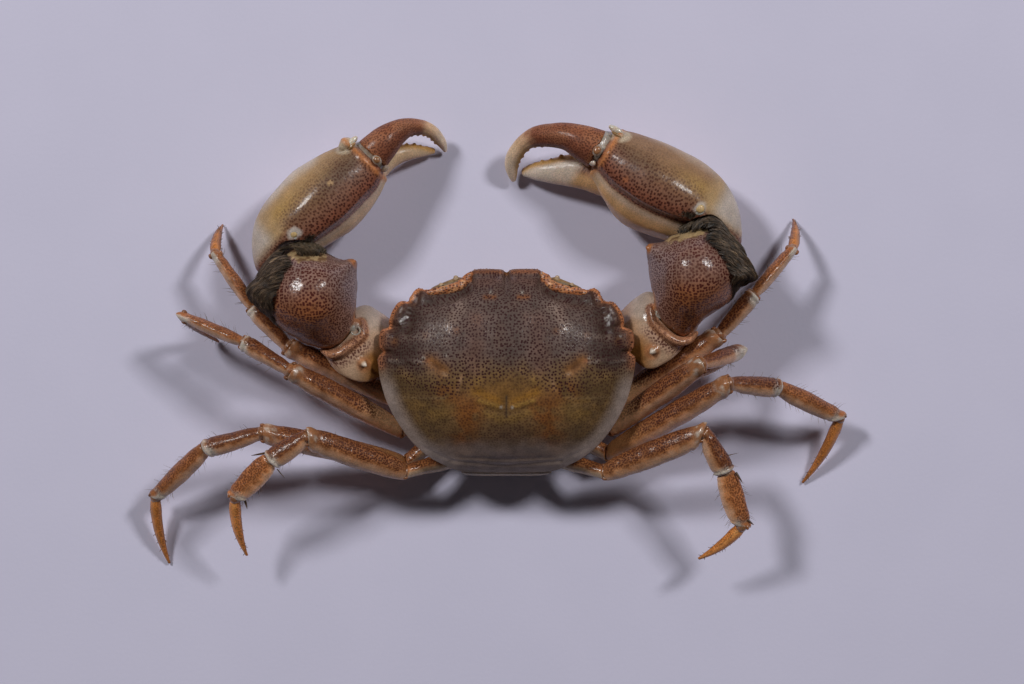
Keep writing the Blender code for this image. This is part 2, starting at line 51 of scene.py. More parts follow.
# Dimensions shared with the part
BACK_HEIGHT = 14.6
GAP = 0.3
ORBIT_DEPTH = 1.3
RIM_THICKNESS = 0.6
SIDE_FLOOR = 6.5
REAR_FLOOR = 5.7
MOUTH_FLOOR = 2.5
TAIL_THICKNESS = 0.9
TAIL_GROOVE = TAIL_THICKNESS + GAP
CARAPACE_EDGE = [
    (0.00, 11.75, 8.9),
    (0.75, 12.05, 8.9),
    (3.35, 12.10, 9.0),
    (4.05, 11.80, 9.0),
    (4.20, 11.05, 9.2),
    (4.55, 10.70, 9.4),
    (5.45, 9.75, 9.8),
    (6.70, 9.42, 10.0),
    (7.90, 9.30, 10.0),
    (9.15, 9.15, 9.9),
    (10.10, 9.80, 9.5),
    (10.85, 9.50, 9.5),
    (11.50, 8.35, 9.7),
    (12.60, 8.18, 9.5),
    (13.35, 7.30, 9.5),
    (13.85, 5.95, 9.6),
    (13.90, 5.25, 9.7),
    (14.70, 4.90, 9.6),
    (15.00, 4.20, 9.6),
    (15.00, 3.05, 9.6),
    (14.65, 2.30, 9.7),
    (15.15, 1.65, 9.6),
    (15.10, 0.40, 9.7),
    (14.90, -0.80, 9.7),
    (14.30, -3.00, 9.6),
    (13.50, -4.85, 9.4),
    (12.25, -6.90, 9.1),
    (10.85, -8.65, 8.8),
    (8.85, -10.30, 8.5),
    (6.85, -11.30, 8.2),
    (5.40, -11.80, 8.0),
    (2.95, -11.95, 7.9),
    (0.00, -11.95, 7.9),
]
ORBIT_CORNERS = (5, 9)
BACK_CURVE = 3.3
TEETH_FROM = 0.8
BREAST_STATIONS = [
    (5.5, 2.6, 2.6),
    (4.4, 5.0, 2.2),
    (2.6, 7.2, 2.0),
    (-1.7, 8.2, 1.9),
    (-4.6, 8.2, 1.9),
    (-7.6, 7.6, 2.0),
    (-10.3, 5.2, 2.6),
]
BREAST_TOP = 5.2
BREAST_UNDERSIDE = 0.35
TAIL_STATIONS = [
    (-11.20, 5.15, 5.0),
    (-11.95, 4.90, 5.4),
    (-12.10, 3.90, 5.0),
    (-11.85, 2.20, 4.5),
    (-11.00, 0.80, 4.0),
    (-9.70, 0.45, 3.5),
    (-6.00, 0.45, 2.9),
    (-2.00, 0.45, 2.3),
    (0.60, 0.45, 1.7),
    (1.90, 0.45, 0.9),
]
LEG_JOINTS = {
    "leg_1_left": [
        (-8.9, -1.7, 2.9),
        (-12.6, -3.55, 2.9),
        (-25.95, 2.95, 7.3),
        (-30.2, 7.65, 7.0),
        (-34.75, 14.0, 5.6),
        (-34.4, 17.75, 0.25),
    ],
    "leg_2_left": [
        (-8.8, -4.7, 2.9),
        (-12.7, -7.05, 3.4),
        (-25.5, 0.15, 10.3),
        (-31.1, 3.5, 9.8),
        (-38.3, 6.5, 7.6),
        (-34.85, 3.5, 0.25),
    ],
    "leg_3_left": [
        (-8.1, -7.7, 2.9),
        (-12.1, -11.1, 3.4),
        (-28.85, -7.25, 9.0),
        (-35.75, -9.2, 7.6),
        (-42.15, -15.1, 3.6),
        (-40.85, -23.4, 0.25),
    ],
    "leg_4_left": [
        (-6.3, -10.5, 4.2),
        (-12.1, -11.9, 6.6),
        (-23.4, -7.7, 12.3),
        (-27.7, -10.4, 11.8),
        (-32.05, -14.9, 9.4),
        (-31.0, -22.1, 5.2),
    ],
    "leg_1_right": [
        (8.9, -1.7, 2.9),
        (12.6, -4.0, 2.9),
        (25.2, 4.4, 8.2),
        (29.3, 9.15, 8.0),
        (34.1, 14.55, 5.8),
        (34.75, 18.4, 0.25),
    ],
    "leg_2_right": [
        (8.8, -4.7, 2.9),
        (12.6, -6.8, 3.9),
        (22.9, 0.9, 10.7),
        (27.3, 2.2, 5.6),
        (20.9, -1.45, 2.4),
        (14.0, -5.0, 0.3),
    ],
    "leg_3_right": [
        (8.1, -7.7, 2.9),
        (12.1, -9.9, 3.4),
        (26.15, -1.4, 11.2),
        (32.3, -1.95, 7.9),
        (39.95, -5.6, 3.8),
        (35.8, -13.65, 0.25),
    ],
    "leg_4_right": [
        (6.3, -10.5, 4.2),
        (11.7, -12.0, 6.6),
        (23.15, -7.3, 11.8),
        (25.7, -11.85, 10.8),
        (27.8, -18.3, 8.6),
        (22.8, -22.4, 6.0),
    ],
}
LEG_SIZES = {
    "hip": ((2.5, 2.6), (2.4, 2.6), (2.3, 2.5), (2.2, 2.2)),
    "merus": ((2.9, 2.8), (2.8, 3.0), (2.9, 2.7), (3.1, 2.3)),
    "carpus": ((2.1, 2.1), (2.0, 2.1), (2.25, 2.1), (2.5, 1.9)),
    "propodus": ((1.6, 2.0), (1.5, 2.0), (2.3, 1.8), (2.8, 1.5)),
    "dactyl": ((1.3, 1.3), (1.25, 1.25), (1.35, 1.3), (1.4, 1.1)),
}
SEGMENT_SHAPES = {
    "hip": ((0.0, 0.95), (0.35, 1.0), (0.55, 0.86), (1.0, 0.8)),
    "merus": ((0.0, 0.62), (0.1, 0.84), (0.4, 1.0), (0.75, 1.0), (0.93, 0.86), (1.0, 0.74)),
    "carpus": ((0.0, 0.64), (0.2, 0.84), (0.6, 1.0), (0.9, 1.02), (1.0, 0.86)),
    "propodus": ((0.0, 0.7), (0.15, 0.94), (0.5, 1.0), (0.88, 0.84), (1.0, 0.68)),
    "dactyl": ((0.0, 0.72), (0.15, 1.0), (0.5, 0.84), (0.8, 0.5), (1.0, 0.2)),
}
SEGMENTS = tuple(SEGMENT_SHAPES)
TOE_BOW = 0.05
ARM_STATIONS = {
    "left": [
        (13.05, 2.9, 2.7, 2.4, 6.1),
        (14.9, 3.2, 3.75, 1.9, 8.1),
        (16.7, 3.3, 4.6, 1.6, 9.2),
        (18.6, 3.2, 4.1, 1.6, 9.6),
        (20.4, 3.25, 2.95, 1.8, 9.3),
        (21.9, 3.9, 1.4, 2.8, 8.2),
    ],
    "right": [
        (13.05, 3.9, 2.6, 2.4, 6.1),
        (14.9, 4.85, 3.5, 1.9, 8.1),
        (16.8, 4.9, 4.6, 1.6, 9.2),
        (18.8, 4.9, 3.9, 1.6, 9.6),
        (20.7, 5.3, 2.8, 1.8, 9.2),
        (22.6, 6.3, 1.3, 2.8, 8.0),
    ],
}
SHOULDER_JOINTS = {
    "left": [(-8.3, 4.3, 3.7), (-12.45, 3.0, 4.3)],
    "right": [(8.3, 4.3, 3.7), (12.45, 3.9, 4.3)],
}
SHOULDER_SIZE = (4.2, 4.2)
WRIST_OUTLINES = {
    "left": [
        (-17.90, 13.25),
        (-19.55, 13.30),
        (-21.20, 14.31),
        (-22.98, 15.19),
        (-24.63, 15.25),
        (-25.86, 15.11),
        (-27.11, 14.18),
        (-28.47, 12.60),
        (-29.47, 10.94),
        (-30.50, 9.64),
        (-29.83, 8.11),
        (-27.97, 6.48),
        (-26.76, 5.27),
        (-25.10, 4.09),
        (-22.74, 2.91),
        (-20.26, 2.91),
        (-18.65, 4.36),
        (-18.01, 6.10),
        (-17.78, 7.99),
        (-17.66, 10.00),
        (-17.70, 11.90),
    ],
    "right": [
        (16.60, 14.96),
        (18.37, 15.45),
        (19.30, 16.49),
        (20.50, 16.97),
        (21.68, 17.68),
        (22.70, 18.20),
        (24.63, 18.10),
        (26.40, 16.14),
        (27.70, 14.60),
        (28.53, 12.95),
        (29.40, 11.10),
        (28.17, 10.30),
        (27.11, 9.64),
        (26.17, 8.23),
        (24.75, 7.16),
        (23.00, 5.90),
        (21.68, 4.45),
        (20.26, 4.33),
        (18.72, 5.51),
        (17.66, 7.04),
        (17.54, 8.46),
        (16.95, 10.82),
        (16.71, 12.95),
    ],
}
WRIST_CENTRES = {"left": (-23.2, 8.8), "right": (22.4, 11.6)}
WRIST_LIFT = 0.3
WRIST_RINGS = (
    (0.22, 15.25),
    (0.48, 14.7),
    (0.7, 13.6),
    (0.87, 11.9),
    (0.97, 10.1),
    (1.0, 8.7),
    (0.93, 7.1),
    (0.75, 5.6),
    (0.4, 4.5),
)
PALM_AXES = {
    "left": ((-26.64, 14.70), (-16.04, 25.55)),
    "right": ((23.65, 17.68), (11.26, 25.43)),
}
PALM_STATIONS = {
    "left": [
        (-4.0, 0.7, -0.9, -0.5, 4.0, 6.4),
        (-3.3, 1.8, -1.8, -1.2, 3.0, 7.6),
        (-2.0, 3.25, -2.4, -1.6, 2.0, 8.8),
        (-0.3, 4.5, -2.7, -1.8, 1.3, 9.8),
        (2.0, 5.25, -2.9, -2.0, 0.9, 10.6),
        (4.6, 5.5, -3.6, -2.6, 0.7, 11.0),
        (7.6, 5.45, -4.3, -3.1, 0.7, 11.0),
        (10.6, 4.75, -4.0, -3.15, 0.9, 10.5),
        (12.9, 3.9, -3.1, -3.0, 1.3, 9.9),
        (14.8, 3.1, -2.2, -2.2, 1.9, 9.4),
    ],
    "right": [
        (-4.9, 0.5, -1.1, -0.8, 4.0, 6.4),
        (-4.2, 1.7, -2.0, -1.2, 3.0, 7.8),
        (-2.4, 3.7, -2.6, -1.4, 1.8, 9.2),
        (-0.1, 5.1, -3.0, -1.4, 1.1, 10.4),
        (2.3, 5.8, -3.9, -1.4, 0.8, 11.2),
        (4.9, 5.95, -4.6, -2.1, 0.6, 11.6),
        (8.2, 5.65, -5.15, -2.5, 0.6, 11.6),
        (11.2, 5.1, -4.15, -2.25, 0.9, 11.0),
        (13.2, 4.55, -2.3, -1.7, 1.3, 10.4),
        (14.7, 3.9, -1.5, -0.9, 1.9, 9.8),
    ],
}
RIDGE_SHARE = 0.72
BULGE_SHARE = 0.36
FIXED_FINGERS = {
    "left": [
        (-17.2, 23.0, 3.9, 3.8, 3.4),
        (-14.9, 25.05, 3.4, 3.0, 3.0),
        (-13.3, 25.95, 2.9, 2.4, 2.6),
        (-11.8, 26.35, 2.4, 1.95, 2.2),
        (-10.3, 26.5, 1.8, 1.5, 1.6),
        (-8.8, 26.6, 1.1, 0.8, 0.8),
    ],
    "right": [
        (13.0, 22.9, 3.9, 4.8, 3.6),
        (10.0, 23.85, 3.5, 4.45, 3.2),
        (7.6, 24.1, 3.1, 4.0, 2.8),
        (5.2, 24.05, 2.6, 2.9, 2.4),
        (3.4, 24.05, 2.1, 2.1, 1.9),
        (2.0, 24.0, 1.6, 1.0, 1.0),
    ],
}
MOVING_FINGERS = {
    "left": [
        (-15.9, 25.75, 7.5, 4.4, 3.8),
        (-14.5, 27.2, 7.4, 3.9, 3.8),
        (-13.1, 28.4, 6.8, 3.0, 3.2),
        (-11.8, 29.05, 5.9, 2.3, 2.6),
        (-10.35, 29.2, 4.8, 1.85, 2.2),
        (-9.2, 28.9, 3.7, 1.6, 1.8),
        (-8.4, 28.25, 2.7, 1.45, 1.5),
        (-7.75, 27.4, 1.7, 1.1, 1.1),
        (-7.4, 26.6, 0.75, 0.4, 0.5),
    ],
    "right": [
        (10.7, 26.4, 7.6, 4.8, 4.0),
        (9.0, 27.2, 7.5, 4.2, 3.9),
        (7.2, 27.9, 7.1, 3.3, 3.4),
        (5.35, 28.1, 6.4, 2.9, 2.9),
        (3.55, 28.0, 5.5, 2.5, 2.5),
        (2.15, 27.35, 4.5, 2.0, 2.2),
        (1.1, 26.2, 3.5, 1.9, 1.9),
        (0.6, 25.0, 2.6, 1.7, 1.6),
        (0.7, 23.8, 1.8, 1.2, 1.1),
        (0.85, 22.95, 1.2, 0.5, 0.5),
    ],
}
EYE_STATIONS = [
    (5.15, 10.95, 8.1, 0.4),
    (5.75, 10.78, 8.15, 0.62),
    (7.0, 10.4, 8.25, 0.66),
    (7.9, 10.1, 8.3, 0.78),
    (8.6, 9.92, 8.3, 0.72),
    (8.95, 9.82, 8.3, 0.4),
]
MOUTH_STATIONS = [
    (5.9, 1.10, 0.2, 2.6, 0.9),
    (7.0, 1.25, 0.2, 3.1, 0.9),
    (8.2, 2.00, 0.2, 3.2, 0.9),
    (9.3, 3.35, 0.2, 3.1, 0.9),
    (10.3, 4.80, 0.3, 2.4, 0.6),
]

# Colours of the shell, as linear red, green and blue
MAROON = np.array([0.042, 0.011, 0.009])
SLATE = np.array([0.138, 0.092, 0.077])
OLIVE = np.array([0.150, 0.086, 0.036])
OCHRE = np.array([0.150, 0.074, 0.022])
RUST = np.array([0.175, 0.060, 0.020])
LILAC = np.array([0.160, 0.112, 0.090])
BONE = np.array([0.400, 0.310, 0.255])
ORANGE = np.array([0.360, 0.135, 0.050])
CREAM = np.array([0.480, 0.340, 0.220])
AMBER = np.array([0.300, 0.120, 0.024])
WHITE = np.array([0.780, 0.700, 0.600])
YELLOW = np.array([0.620, 0.400, 0.160])
DARK = np.array([0.012, 0.009, 0.007])


# Small mathematics

def ramp(value, low, high):
    """0 at low, 1 at high and smooth between them."""
    t = np.clip((value - low) / (high - low), 0.0, 1.0)
    return t * t * (3 - 2 * t)


def hill(value, centre, width):
    return np.exp(-(((value - centre) / width) ** 2))


def blend(base, colour, weight):
    """The base colours moved towards another colour by a weight per point."""
    weight = np.clip(np.asarray(weight, float), 0, 1)[..., None]
    return base * (1 - weight) + colour * weight


def lattice(cells, seed):
    """A repeatable number from 0 to 1 for each corner of a lattice."""
    mixed = (cells[..., 0] * 73856093) ^ (cells[..., 1] * 19349663) ^ (cells[..., 2] * 83492791)
    mixed = (mixed + seed * 7919) & 0x7FFFFFFF
    mixed = ((mixed ^ (mixed >> 13)) * 60493) & 0x7FFFFFFF
    mixed = ((mixed ^ (mixed >> 11)) * 19990303) & 0x7FFFFFFF
    return ((mixed >> 7) & 0xFFFF) / 65535.0


def noise(points, size, seed=0):
    """Smooth noise from -1 to 1 whose lumps are about size across."""
    scaled = np.asarray(points) / size + 1000.5
    base = np.floor(scaled).astype(np.int64)
    t = scaled - base
    t = t * t * (3 - 2 * t)
    total = 0.0
    for i in (0, 1):
        for j in (0, 1):
            for k in (0, 1):
                weight = np.abs(1 - i - t[..., 0]) * np.abs(1 - j - t[..., 1])
                weight = weight * np.abs(1 - k - t[..., 2])
                total = total + weight * lattice(base + np.array([i, j, k]), seed)
    return total * 2 - 1


def stroke(x, y, start, end, width):
    """A soft weight that is 1 on the line from start to end and falls off over width."""
    ax, ay = start
    bx, by = end
    length = (bx - ax) ** 2 + (by - ay) ** 2 + 1e-9
    t = np.clip(((x - ax) * (bx - ax) + (y - ay) * (by - ay)) / length, 0, 1)
    far = (x - ax - t * (bx - ax)) ** 2 + (y - ay - t * (by - ay)) ** 2
    return np.exp(-far / width**2)


def spline(points, count, closed, axis=0):
    """Count places along a smooth curve through the points of one axis."""
    a = np.moveaxis(np.asarray(points, float), axis, 0)
    n = len(a)
    places = np.arange(count) * n / count if closed else np.linspace(0, n - 1, count)
    k = np.minimum(places.astype(int), n - 1 if closed else n - 2)
    t = (places - k).reshape((-1,) + (1,) * (a.ndim - 1))

    def pick(j):
        return a[(k + j) % n] if closed else a[np.clip(k + j, 0, n - 1)]

    p, q, r, s = pick(-1), pick(0), pick(1), pick(2)
    curve = 2 * q + (r - p) * t + (2 * p - 5 * q + 4 * r - s) * t**2
    curve = 0.5 * (curve + (3 * q - p - 3 * r + s) * t**3)
    return np.moveaxis(curve, 0, axis)


def unit(vector):
    vector = np.asarray(vector, float)
    return vector / np.maximum(np.linalg.norm(vector, axis=-1, keepdims=True), 1e-9)


# Meshes as arrays of points and faces

def skin(rings, around, along):
    """The rings made finer both ways."""
    return spline(spline(rings, around, True, axis=1), along, False, axis=0)


def lid(ring, outward, bulge, steps=5):
    """Rings that close an end with a low dome."""
    centre = ring.mean(axis=0)
    angles = np.linspace(0, math.pi / 2, steps + 1)[1:]
    return [
        centre + (ring - centre) * math.cos(a) * 0.999 + outward * bulge * math.sin(a)
        for a in angles
    ]


def shell_of(rings, bulges=(0.2, 0.2)):
    """Points and faces of a closed skin over the rings, with a low dome on each end."""
    rings = np.asarray(rings)
    first = unit(rings[0].mean(axis=0) - rings[1].mean(axis=0))
    last = unit(rings[-1].mean(axis=0) - rings[-2].mean(axis=0))
    full = lid(rings[0], first, bulges[0])[::-1] + list(rings) + lid(rings[-1], last, bulges[1])
    full = np.array(full)
    rows, count = full.shape[:2]
    index = np.arange(rows * count).reshape(rows, count)
    turned = np.roll(index, -1, axis=1)
    quads = np.stack([index[:-1], turned[:-1], turned[1:], index[1:]], axis=-1)
    points = full.reshape(-1, 3)
    faces = quads.reshape(-1, 4)
    return outward_facing(points, faces)


def outward_facing(points, faces):
    """The same closed mesh with its faces turned outwards."""
    a, b, c, d = (points[faces[:, i]] for i in range(4))
    middle = points.mean(axis=0)
    volume = np.einsum("ij,ij->i", (a + b + c + d) / 4 - middle, np.cross(c - a, d - b)).sum()
    return points, faces if volume > 0 else faces[:, ::-1]


def joined(*solids):
    points, faces, start = [], [], 0
    for more_points, more_faces in solids:
        points.append(more_points)
        faces.append(more_faces + start)
        start += len(more_points)
    return np.concatenate(points), np.concatenate(faces)


def ball(centre, radii, direction=(1, 0, 0), around=20, rows=12):
    """An ellipsoid whose first radius lies along the direction."""
    forward = unit(direction)
    side = unit(np.cross(forward, UP if abs(forward[2]) < 0.9 else [0, 1, 0]))
    top = np.cross(side, forward)
    angles = np.linspace(0.02, math.pi - 0.02, rows)
    turn = np.arange(around) * 2 * math.pi / around
    rings = []
    for angle in angles:
        ring = np.outer(np.cos(turn), side) * radii[1] + np.outer(np.sin(turn), top) * radii[2]
        rings.append(
            np.asarray(centre) - forward * radii[0] * math.cos(angle) + ring * math.sin(angle)
        )
    return shell_of(rings, (0.001, 0.001))


def frames(middle):
    """Directions along, level across and up at each point of a middle line."""
    ahead = np.gradient(middle, axis=0)
    ahead = unit(ahead)
    side = unit(np.cross(ahead, UP))
    return ahead, side, np.cross(side, ahead)


def tube_rings(stations, around, along):
    """Rings square to a smooth middle line: x, y, z, breadth and depth."""
    fine = spline(stations, along, False)
    _, side, top = frames(fine[:, :3])
    turn = np.arange(around) * 2 * math.pi / around
    return (
        fine[:, None, :3]
        + side[:, None] * (fine[:, None, 3:4] / 2 * np.cos(turn)[None, :, None])
        + top[:, None] * (fine[:, None, 4:5] / 2 * np.sin(turn)[None, :, None])
    )




# Blender objects

def make_mesh(name, points, faces):
    mesh = bpy.data.meshes.new(name)
    mesh.vertices.add(len(points))
    mesh.vertices.foreach_set("co", (np.asarray(points) * MM).astype(np.float32).ravel())
    mesh.loops.add(faces.size)
    mesh.loops.foreach_set("vertex_index", faces.astype(np.int32).ravel())
    mesh.polygons.add(len(faces))
    mesh.polygons.foreach_set("loop_start", np.arange(0, faces.size, faces.shape[1]))
    mesh.update(calc_edges=True)
    mesh.validate()
    mesh.shade_smooth()
    piece = bpy.data.objects.new(name, mesh)
    bpy.context.scene.collection.objects.link(piece)
    return piece


def apply_modifiers(piece):
    graph = bpy.context.evaluated_depsgraph_get()
    mesh = bpy.data.meshes.new_from_object(piece.evaluated_get(graph))
    piece.modifiers.clear()
    old, piece.data = piece.data, mesh
    bpy.data.meshes.remove(old)
    mesh.shade_smooth()


def fused(name, solids, voxel, passes=4, cutter=None):
    """One skin over several overlapping solids, with their joins smoothed over."""
    piece = make_mesh(name, *joined(*solids))
    remesh = piece.modifiers.new("remesh", "REMESH")
    remesh.mode = "VOXEL"
    remesh.voxel_size = voxel * MM
    smooth = piece.modifiers.new("smooth", "SMOOTH")
    smooth.iterations = passes
    smooth.factor = 0.5
    if cutter is not None:
        cut = piece.modifiers.new("cut", "BOOLEAN")
        cut.operation = "DIFFERENCE"
        cut.solver = "MANIFOLD"
        cut.object = make_mesh(name + "_cutter", *cutter)
        weld = cut.object.modifiers.new("weld", "WELD")
        weld.merge_threshold = 0.002 * MM
    apply_modifiers(piece)
    if cutter is not None:
        bpy.data.objects.remove(bpy.data.objects[name + "_cutter"])
    return piece


def points_of(piece):
    """Points and normals of a piece, in millimetres."""
    mesh = piece.data
    points = np.empty(len(mesh.vertices) * 3, np.float32)
    normals = np.empty(len(mesh.vertices) * 3, np.float32)
    mesh.vertices.foreach_get("co", points)
    mesh.vertex_normals.foreach_get("vector", normals)
    return points.reshape(-1, 3).astype(float) / MM, normals.reshape(-1, 3).astype(float)


def push(piece, amount):
    """Moves each point along its normal by amount millimetres."""
    points, normals = points_of(piece)
    moved = (points + normals * np.asarray(amount)[:, None]) * MM
    piece.data.vertices.foreach_set("co", moved.astype(np.float32).ravel())
    piece.data.update()


def polar(outline, centre, points):
    """How far the closed outline lies from the centre, in the direction of each point."""
    corners = spline(outline, 240, True) - centre
    angles = np.arctan2(corners[:, 1], corners[:, 0])
    order = np.argsort(angles)
    radii = np.hypot(corners[:, 0], corners[:, 1])
    towards = np.arctan2(points[..., 1] - centre[1], points[..., 0] - centre[0])
    return np.interp(towards, angles[order], radii[order], period=2 * math.pi)


def strands(paths, radii, around=3):
    """Thin tapered prisms along many paths at once: paths by rows by three."""
    count, rows = paths.shape[:2]
    ahead = unit(np.gradient(paths, axis=1))
    side = unit(np.cross(ahead, UP + 0.01))
    top = np.cross(side, ahead)
    turn = np.arange(around) * 2 * math.pi / around
    taper = 1 - 0.85 * np.linspace(0, 1, rows) ** 2
    size = radii[:, None] * taper
    points = paths[:, :, None] + size[..., None, None] * (
        side[:, :, None] * np.cos(turn)[:, None] + top[:, :, None] * np.sin(turn)[:, None]
    )
    index = np.arange(count * rows * around).reshape(count, rows, around)
    turned = np.roll(index, -1, axis=2)
    faces = np.stack([index[:, :-1], index[:, 1:], turned[:, 1:], turned[:, :-1]], axis=-1)
    return points.reshape(-1, 3), faces.reshape(-1, 4)


def colour(piece, tint, dots=0.0, dry=0.0, rough=1.0, chart=None, wet=1.0):
    """Stores each point's colour, spots, dullness, bumps and wetness, and its place on the flattened skin."""
    count = len(piece.data.vertices)
    rows = np.ones((count, 4), np.float32)
    rows[:, :3] = np.clip(np.broadcast_to(tint, (count, 3)), 0, 1)
    layer = piece.data.attributes.new("tint", "FLOAT_COLOR", "POINT")
    layer.data.foreach_set("color", rows.ravel())
    marks = np.ones((count, 4), np.float32)
    for i, value in enumerate((dots, dry, rough, wet)):
        marks[:, i] = np.clip(value, 0, 1)
    layer = piece.data.attributes.new("marks", "FLOAT_COLOR", "POINT")
    layer.data.foreach_set("color", marks.ravel())
    flat = np.zeros((count, 3), np.float32)
    flat[:, :2] = points_of(piece)[0][:, :2] if chart is None else chart
    layer = piece.data.attributes.new("chart", "FLOAT_VECTOR", "POINT")
    layer.data.foreach_set("vector", flat.ravel())


def place(piece, material, slot, *nodes):
    """Gives a piece its material and its body, and hides the solids it stands for. Its slot is not used."""
    piece.data.materials.clear()
    piece.data.materials.append(material)
    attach(piece, "root")
    if nodes:
        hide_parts(*nodes)
    return piece


# Materials

def dome_chart(points, normals, centre, height):
    """Flattens a dome from above, so that its steep flanks take as much room as they have."""
    offset = points[:, :2] - centre
    drop = np.maximum(height - points[:, 2], 0)
    stretch = drop * (0.3 + 0.7 * (1 - np.clip(normals[:, 2], 0, 1)))
    return offset + unit(offset) * stretch[:, None]


def limb_chart(points, start, end, radius, upward=UP):
    """Unrolls a limb: its length one way and the way round it, from its top, the other."""
    direction = unit(end - start)
    side = unit(np.cross(direction, upward))
    top = np.cross(side, direction)
    offset = points - start
    angle = np.arctan2(offset @ side, offset @ top)
    return np.column_stack([offset @ direction, angle * radius])


class Graph:
    """A short way to add and join the nodes of one material."""

    def __init__(self, name):
        self.material = bpy.data.materials.new(name)
        self.material.use_nodes = True
        self.tree = self.material.node_tree
        self.shader = self.tree.nodes["Principled BSDF"]
        self.coordinates = self.add("ShaderNodeTexCoord").outputs["Object"]

    def add(self, kind, **settings):
        node = self.tree.nodes.new(kind)
        for key, value in settings.items():
            setattr(node, key, value)
        return node

    def join(self, value, socket):
        if hasattr(value, "is_output"):
            self.tree.links.new(value, socket)
        else:
            socket.default_value = value

    def stored(self, name, output):
        return self.add("ShaderNodeAttribute", attribute_name=name).outputs[output]

    def maths(self, operation, a, b=0.0):
        node = self.add("ShaderNodeMath", operation=operation)
        self.join(a, node.inputs[0])
        self.join(b, node.inputs[1])
        return node.outputs[0]

    def spread(self, value, low, high, to_low=0.0, to_high=1.0):
        node = self.add("ShaderNodeMapRange", interpolation_type="SMOOTHSTEP")
        for key, number in zip(range(5), (value, low, high, to_low, to_high)):
            self.join(number, node.inputs[key])
        return node.outputs[0]

    def cloud(self, size, detail=3.0, output="Fac"):
        """Noise with lumps of this size in millimetres."""
        node = self.add("ShaderNodeTexNoise")
        node.inputs["Scale"].default_value = 1 / (size * MM)
        node.inputs["Detail"].default_value = detail
        self.join(self.coordinates, node.inputs["Vector"])
        return node.outputs[output]

    def spots(self, cell, low, high, wobble):
        """Round spots on the flattened skin, one to a cell, with wavering edges."""
        drift = self.add("ShaderNodeVectorMath", operation="MULTIPLY_ADD")
        self.join(self.cloud(cell * 0.8, 1.0, "Color"), drift.inputs[0])
        self.join((wobble, wobble, 0.0), drift.inputs[1])
        self.join(self.stored("chart", "Vector"), drift.inputs[2])
        node = self.add("ShaderNodeTexVoronoi", voronoi_dimensions="2D")
        node.inputs["Scale"].default_value = 1 / cell
        node.inputs["Randomness"].default_value = 0.75
        self.join(drift.outputs["Vector"], node.inputs["Vector"])
        return self.spread(node.outputs["Distance"], low, high, 1.0, 0.0)

    def mix(self, weight, a, b, kind="MIX"):
        node = self.add("ShaderNodeMix", data_type="RGBA", blend_type=kind)
        self.join(weight, node.inputs[0])
        self.join(a, node.inputs[6])
        self.join(b, node.inputs[7])
        return node.outputs[2]

    def relief(self, height, strength, distance):
        node = self.add("ShaderNodeBump")
        node.inputs["Strength"].default_value = strength
        node.inputs["Distance"].default_value = distance * MM
        self.join(height, node.inputs["Height"])
        return node.outputs["Normal"]


def shell_material(name, cell=0.44, dot=(0.14, 0.38), spot=MAROON, gloss=0.42, coat=0.5,
                   coat_rough=0.13, glow=0.0, bump=0.045, mottle=0.2, shine=0.5):
    """A shell: painted colour, fine spots, mottling and small bumps, glossy where it is wet."""
    g = Graph(name)
    marks = g.add("ShaderNodeSeparateColor")
    g.join(g.stored("marks", "Color"), marks.inputs[0])
    spotted, dry, bumpy = marks.outputs
    wet = g.stored("marks", "Alpha")
    spots = g.spots(cell, *dot, cell * 0.22)
    spots = g.maths("MULTIPLY", spots, g.spread(g.cloud(cell * 5), 0.3, 0.55, 0.65, 1.0))
    spots = g.maths("MULTIPLY", spots, spotted)
    light = g.spread(g.cloud(1.4, 5.0), 0.25, 0.75, 1 - mottle, 1 + mottle)
    fine = g.spread(g.cloud(0.16, 2.0), 0.3, 0.7, 0.84, 1.16)
    base = g.mix(1.0, g.stored("tint", "Color"), g.maths("MULTIPLY", light, fine), "MULTIPLY")
    g.join(g.mix(spots, base, (*spot, 1.0)), g.shader.inputs["Base Color"])
    worn = g.spread(g.cloud(0.5, 3.0), 0.3, 0.7, gloss - 0.06, gloss + 0.1)
    g.join(g.maths("ADD", worn, g.maths("MULTIPLY", dry, 0.35)), g.shader.inputs["Roughness"])
    height = g.maths("ADD", g.maths("MULTIPLY", g.cloud(0.2, 3.0), bumpy), g.cloud(1.1, 2.0))
    height = g.maths("ADD", height, g.maths("MULTIPLY", spots, -0.12))
    normal = g.relief(height, 0.9, bump)
    g.join(normal, g.shader.inputs["Normal"])
    g.join(normal, g.shader.inputs["Coat Normal"])
    g.join(g.maths("MULTIPLY", wet, coat), g.shader.inputs["Coat Weight"])
    inputs = g.shader.inputs
    inputs["Specular IOR Level"].default_value = shine
    inputs["Coat Roughness"].default_value = coat_rough
    inputs["IOR"].default_value = 1.5
    inputs["Subsurface Weight"].default_value = glow
    inputs["Subsurface Radius"].default_value = (1.0, 0.55, 0.3)
    inputs["Subsurface Scale"].default_value = 0.9 * MM
    return g.material


def hair_material(name, gloss):
    g = Graph(name)
    light = g.spread(g.cloud(0.8, 4.0), 0.25, 0.75, 0.55, 1.45)
    g.join(g.mix(1.0, g.stored("tint", "Color"), light, "MULTIPLY"), g.shader.inputs["Base Color"])
    worn = g.spread(g.cloud(0.4), 0.3, 0.7, gloss - 0.1, gloss + 0.15)
    g.join(worn, g.shader.inputs["Roughness"])
    g.join(g.relief(g.cloud(0.12, 3.0), 0.6, 0.02), g.shader.inputs["Normal"])
    g.shader.inputs["Coat Weight"].default_value = 0.2
    g.shader.inputs["Coat Roughness"].default_value = 0.35
    return g.material


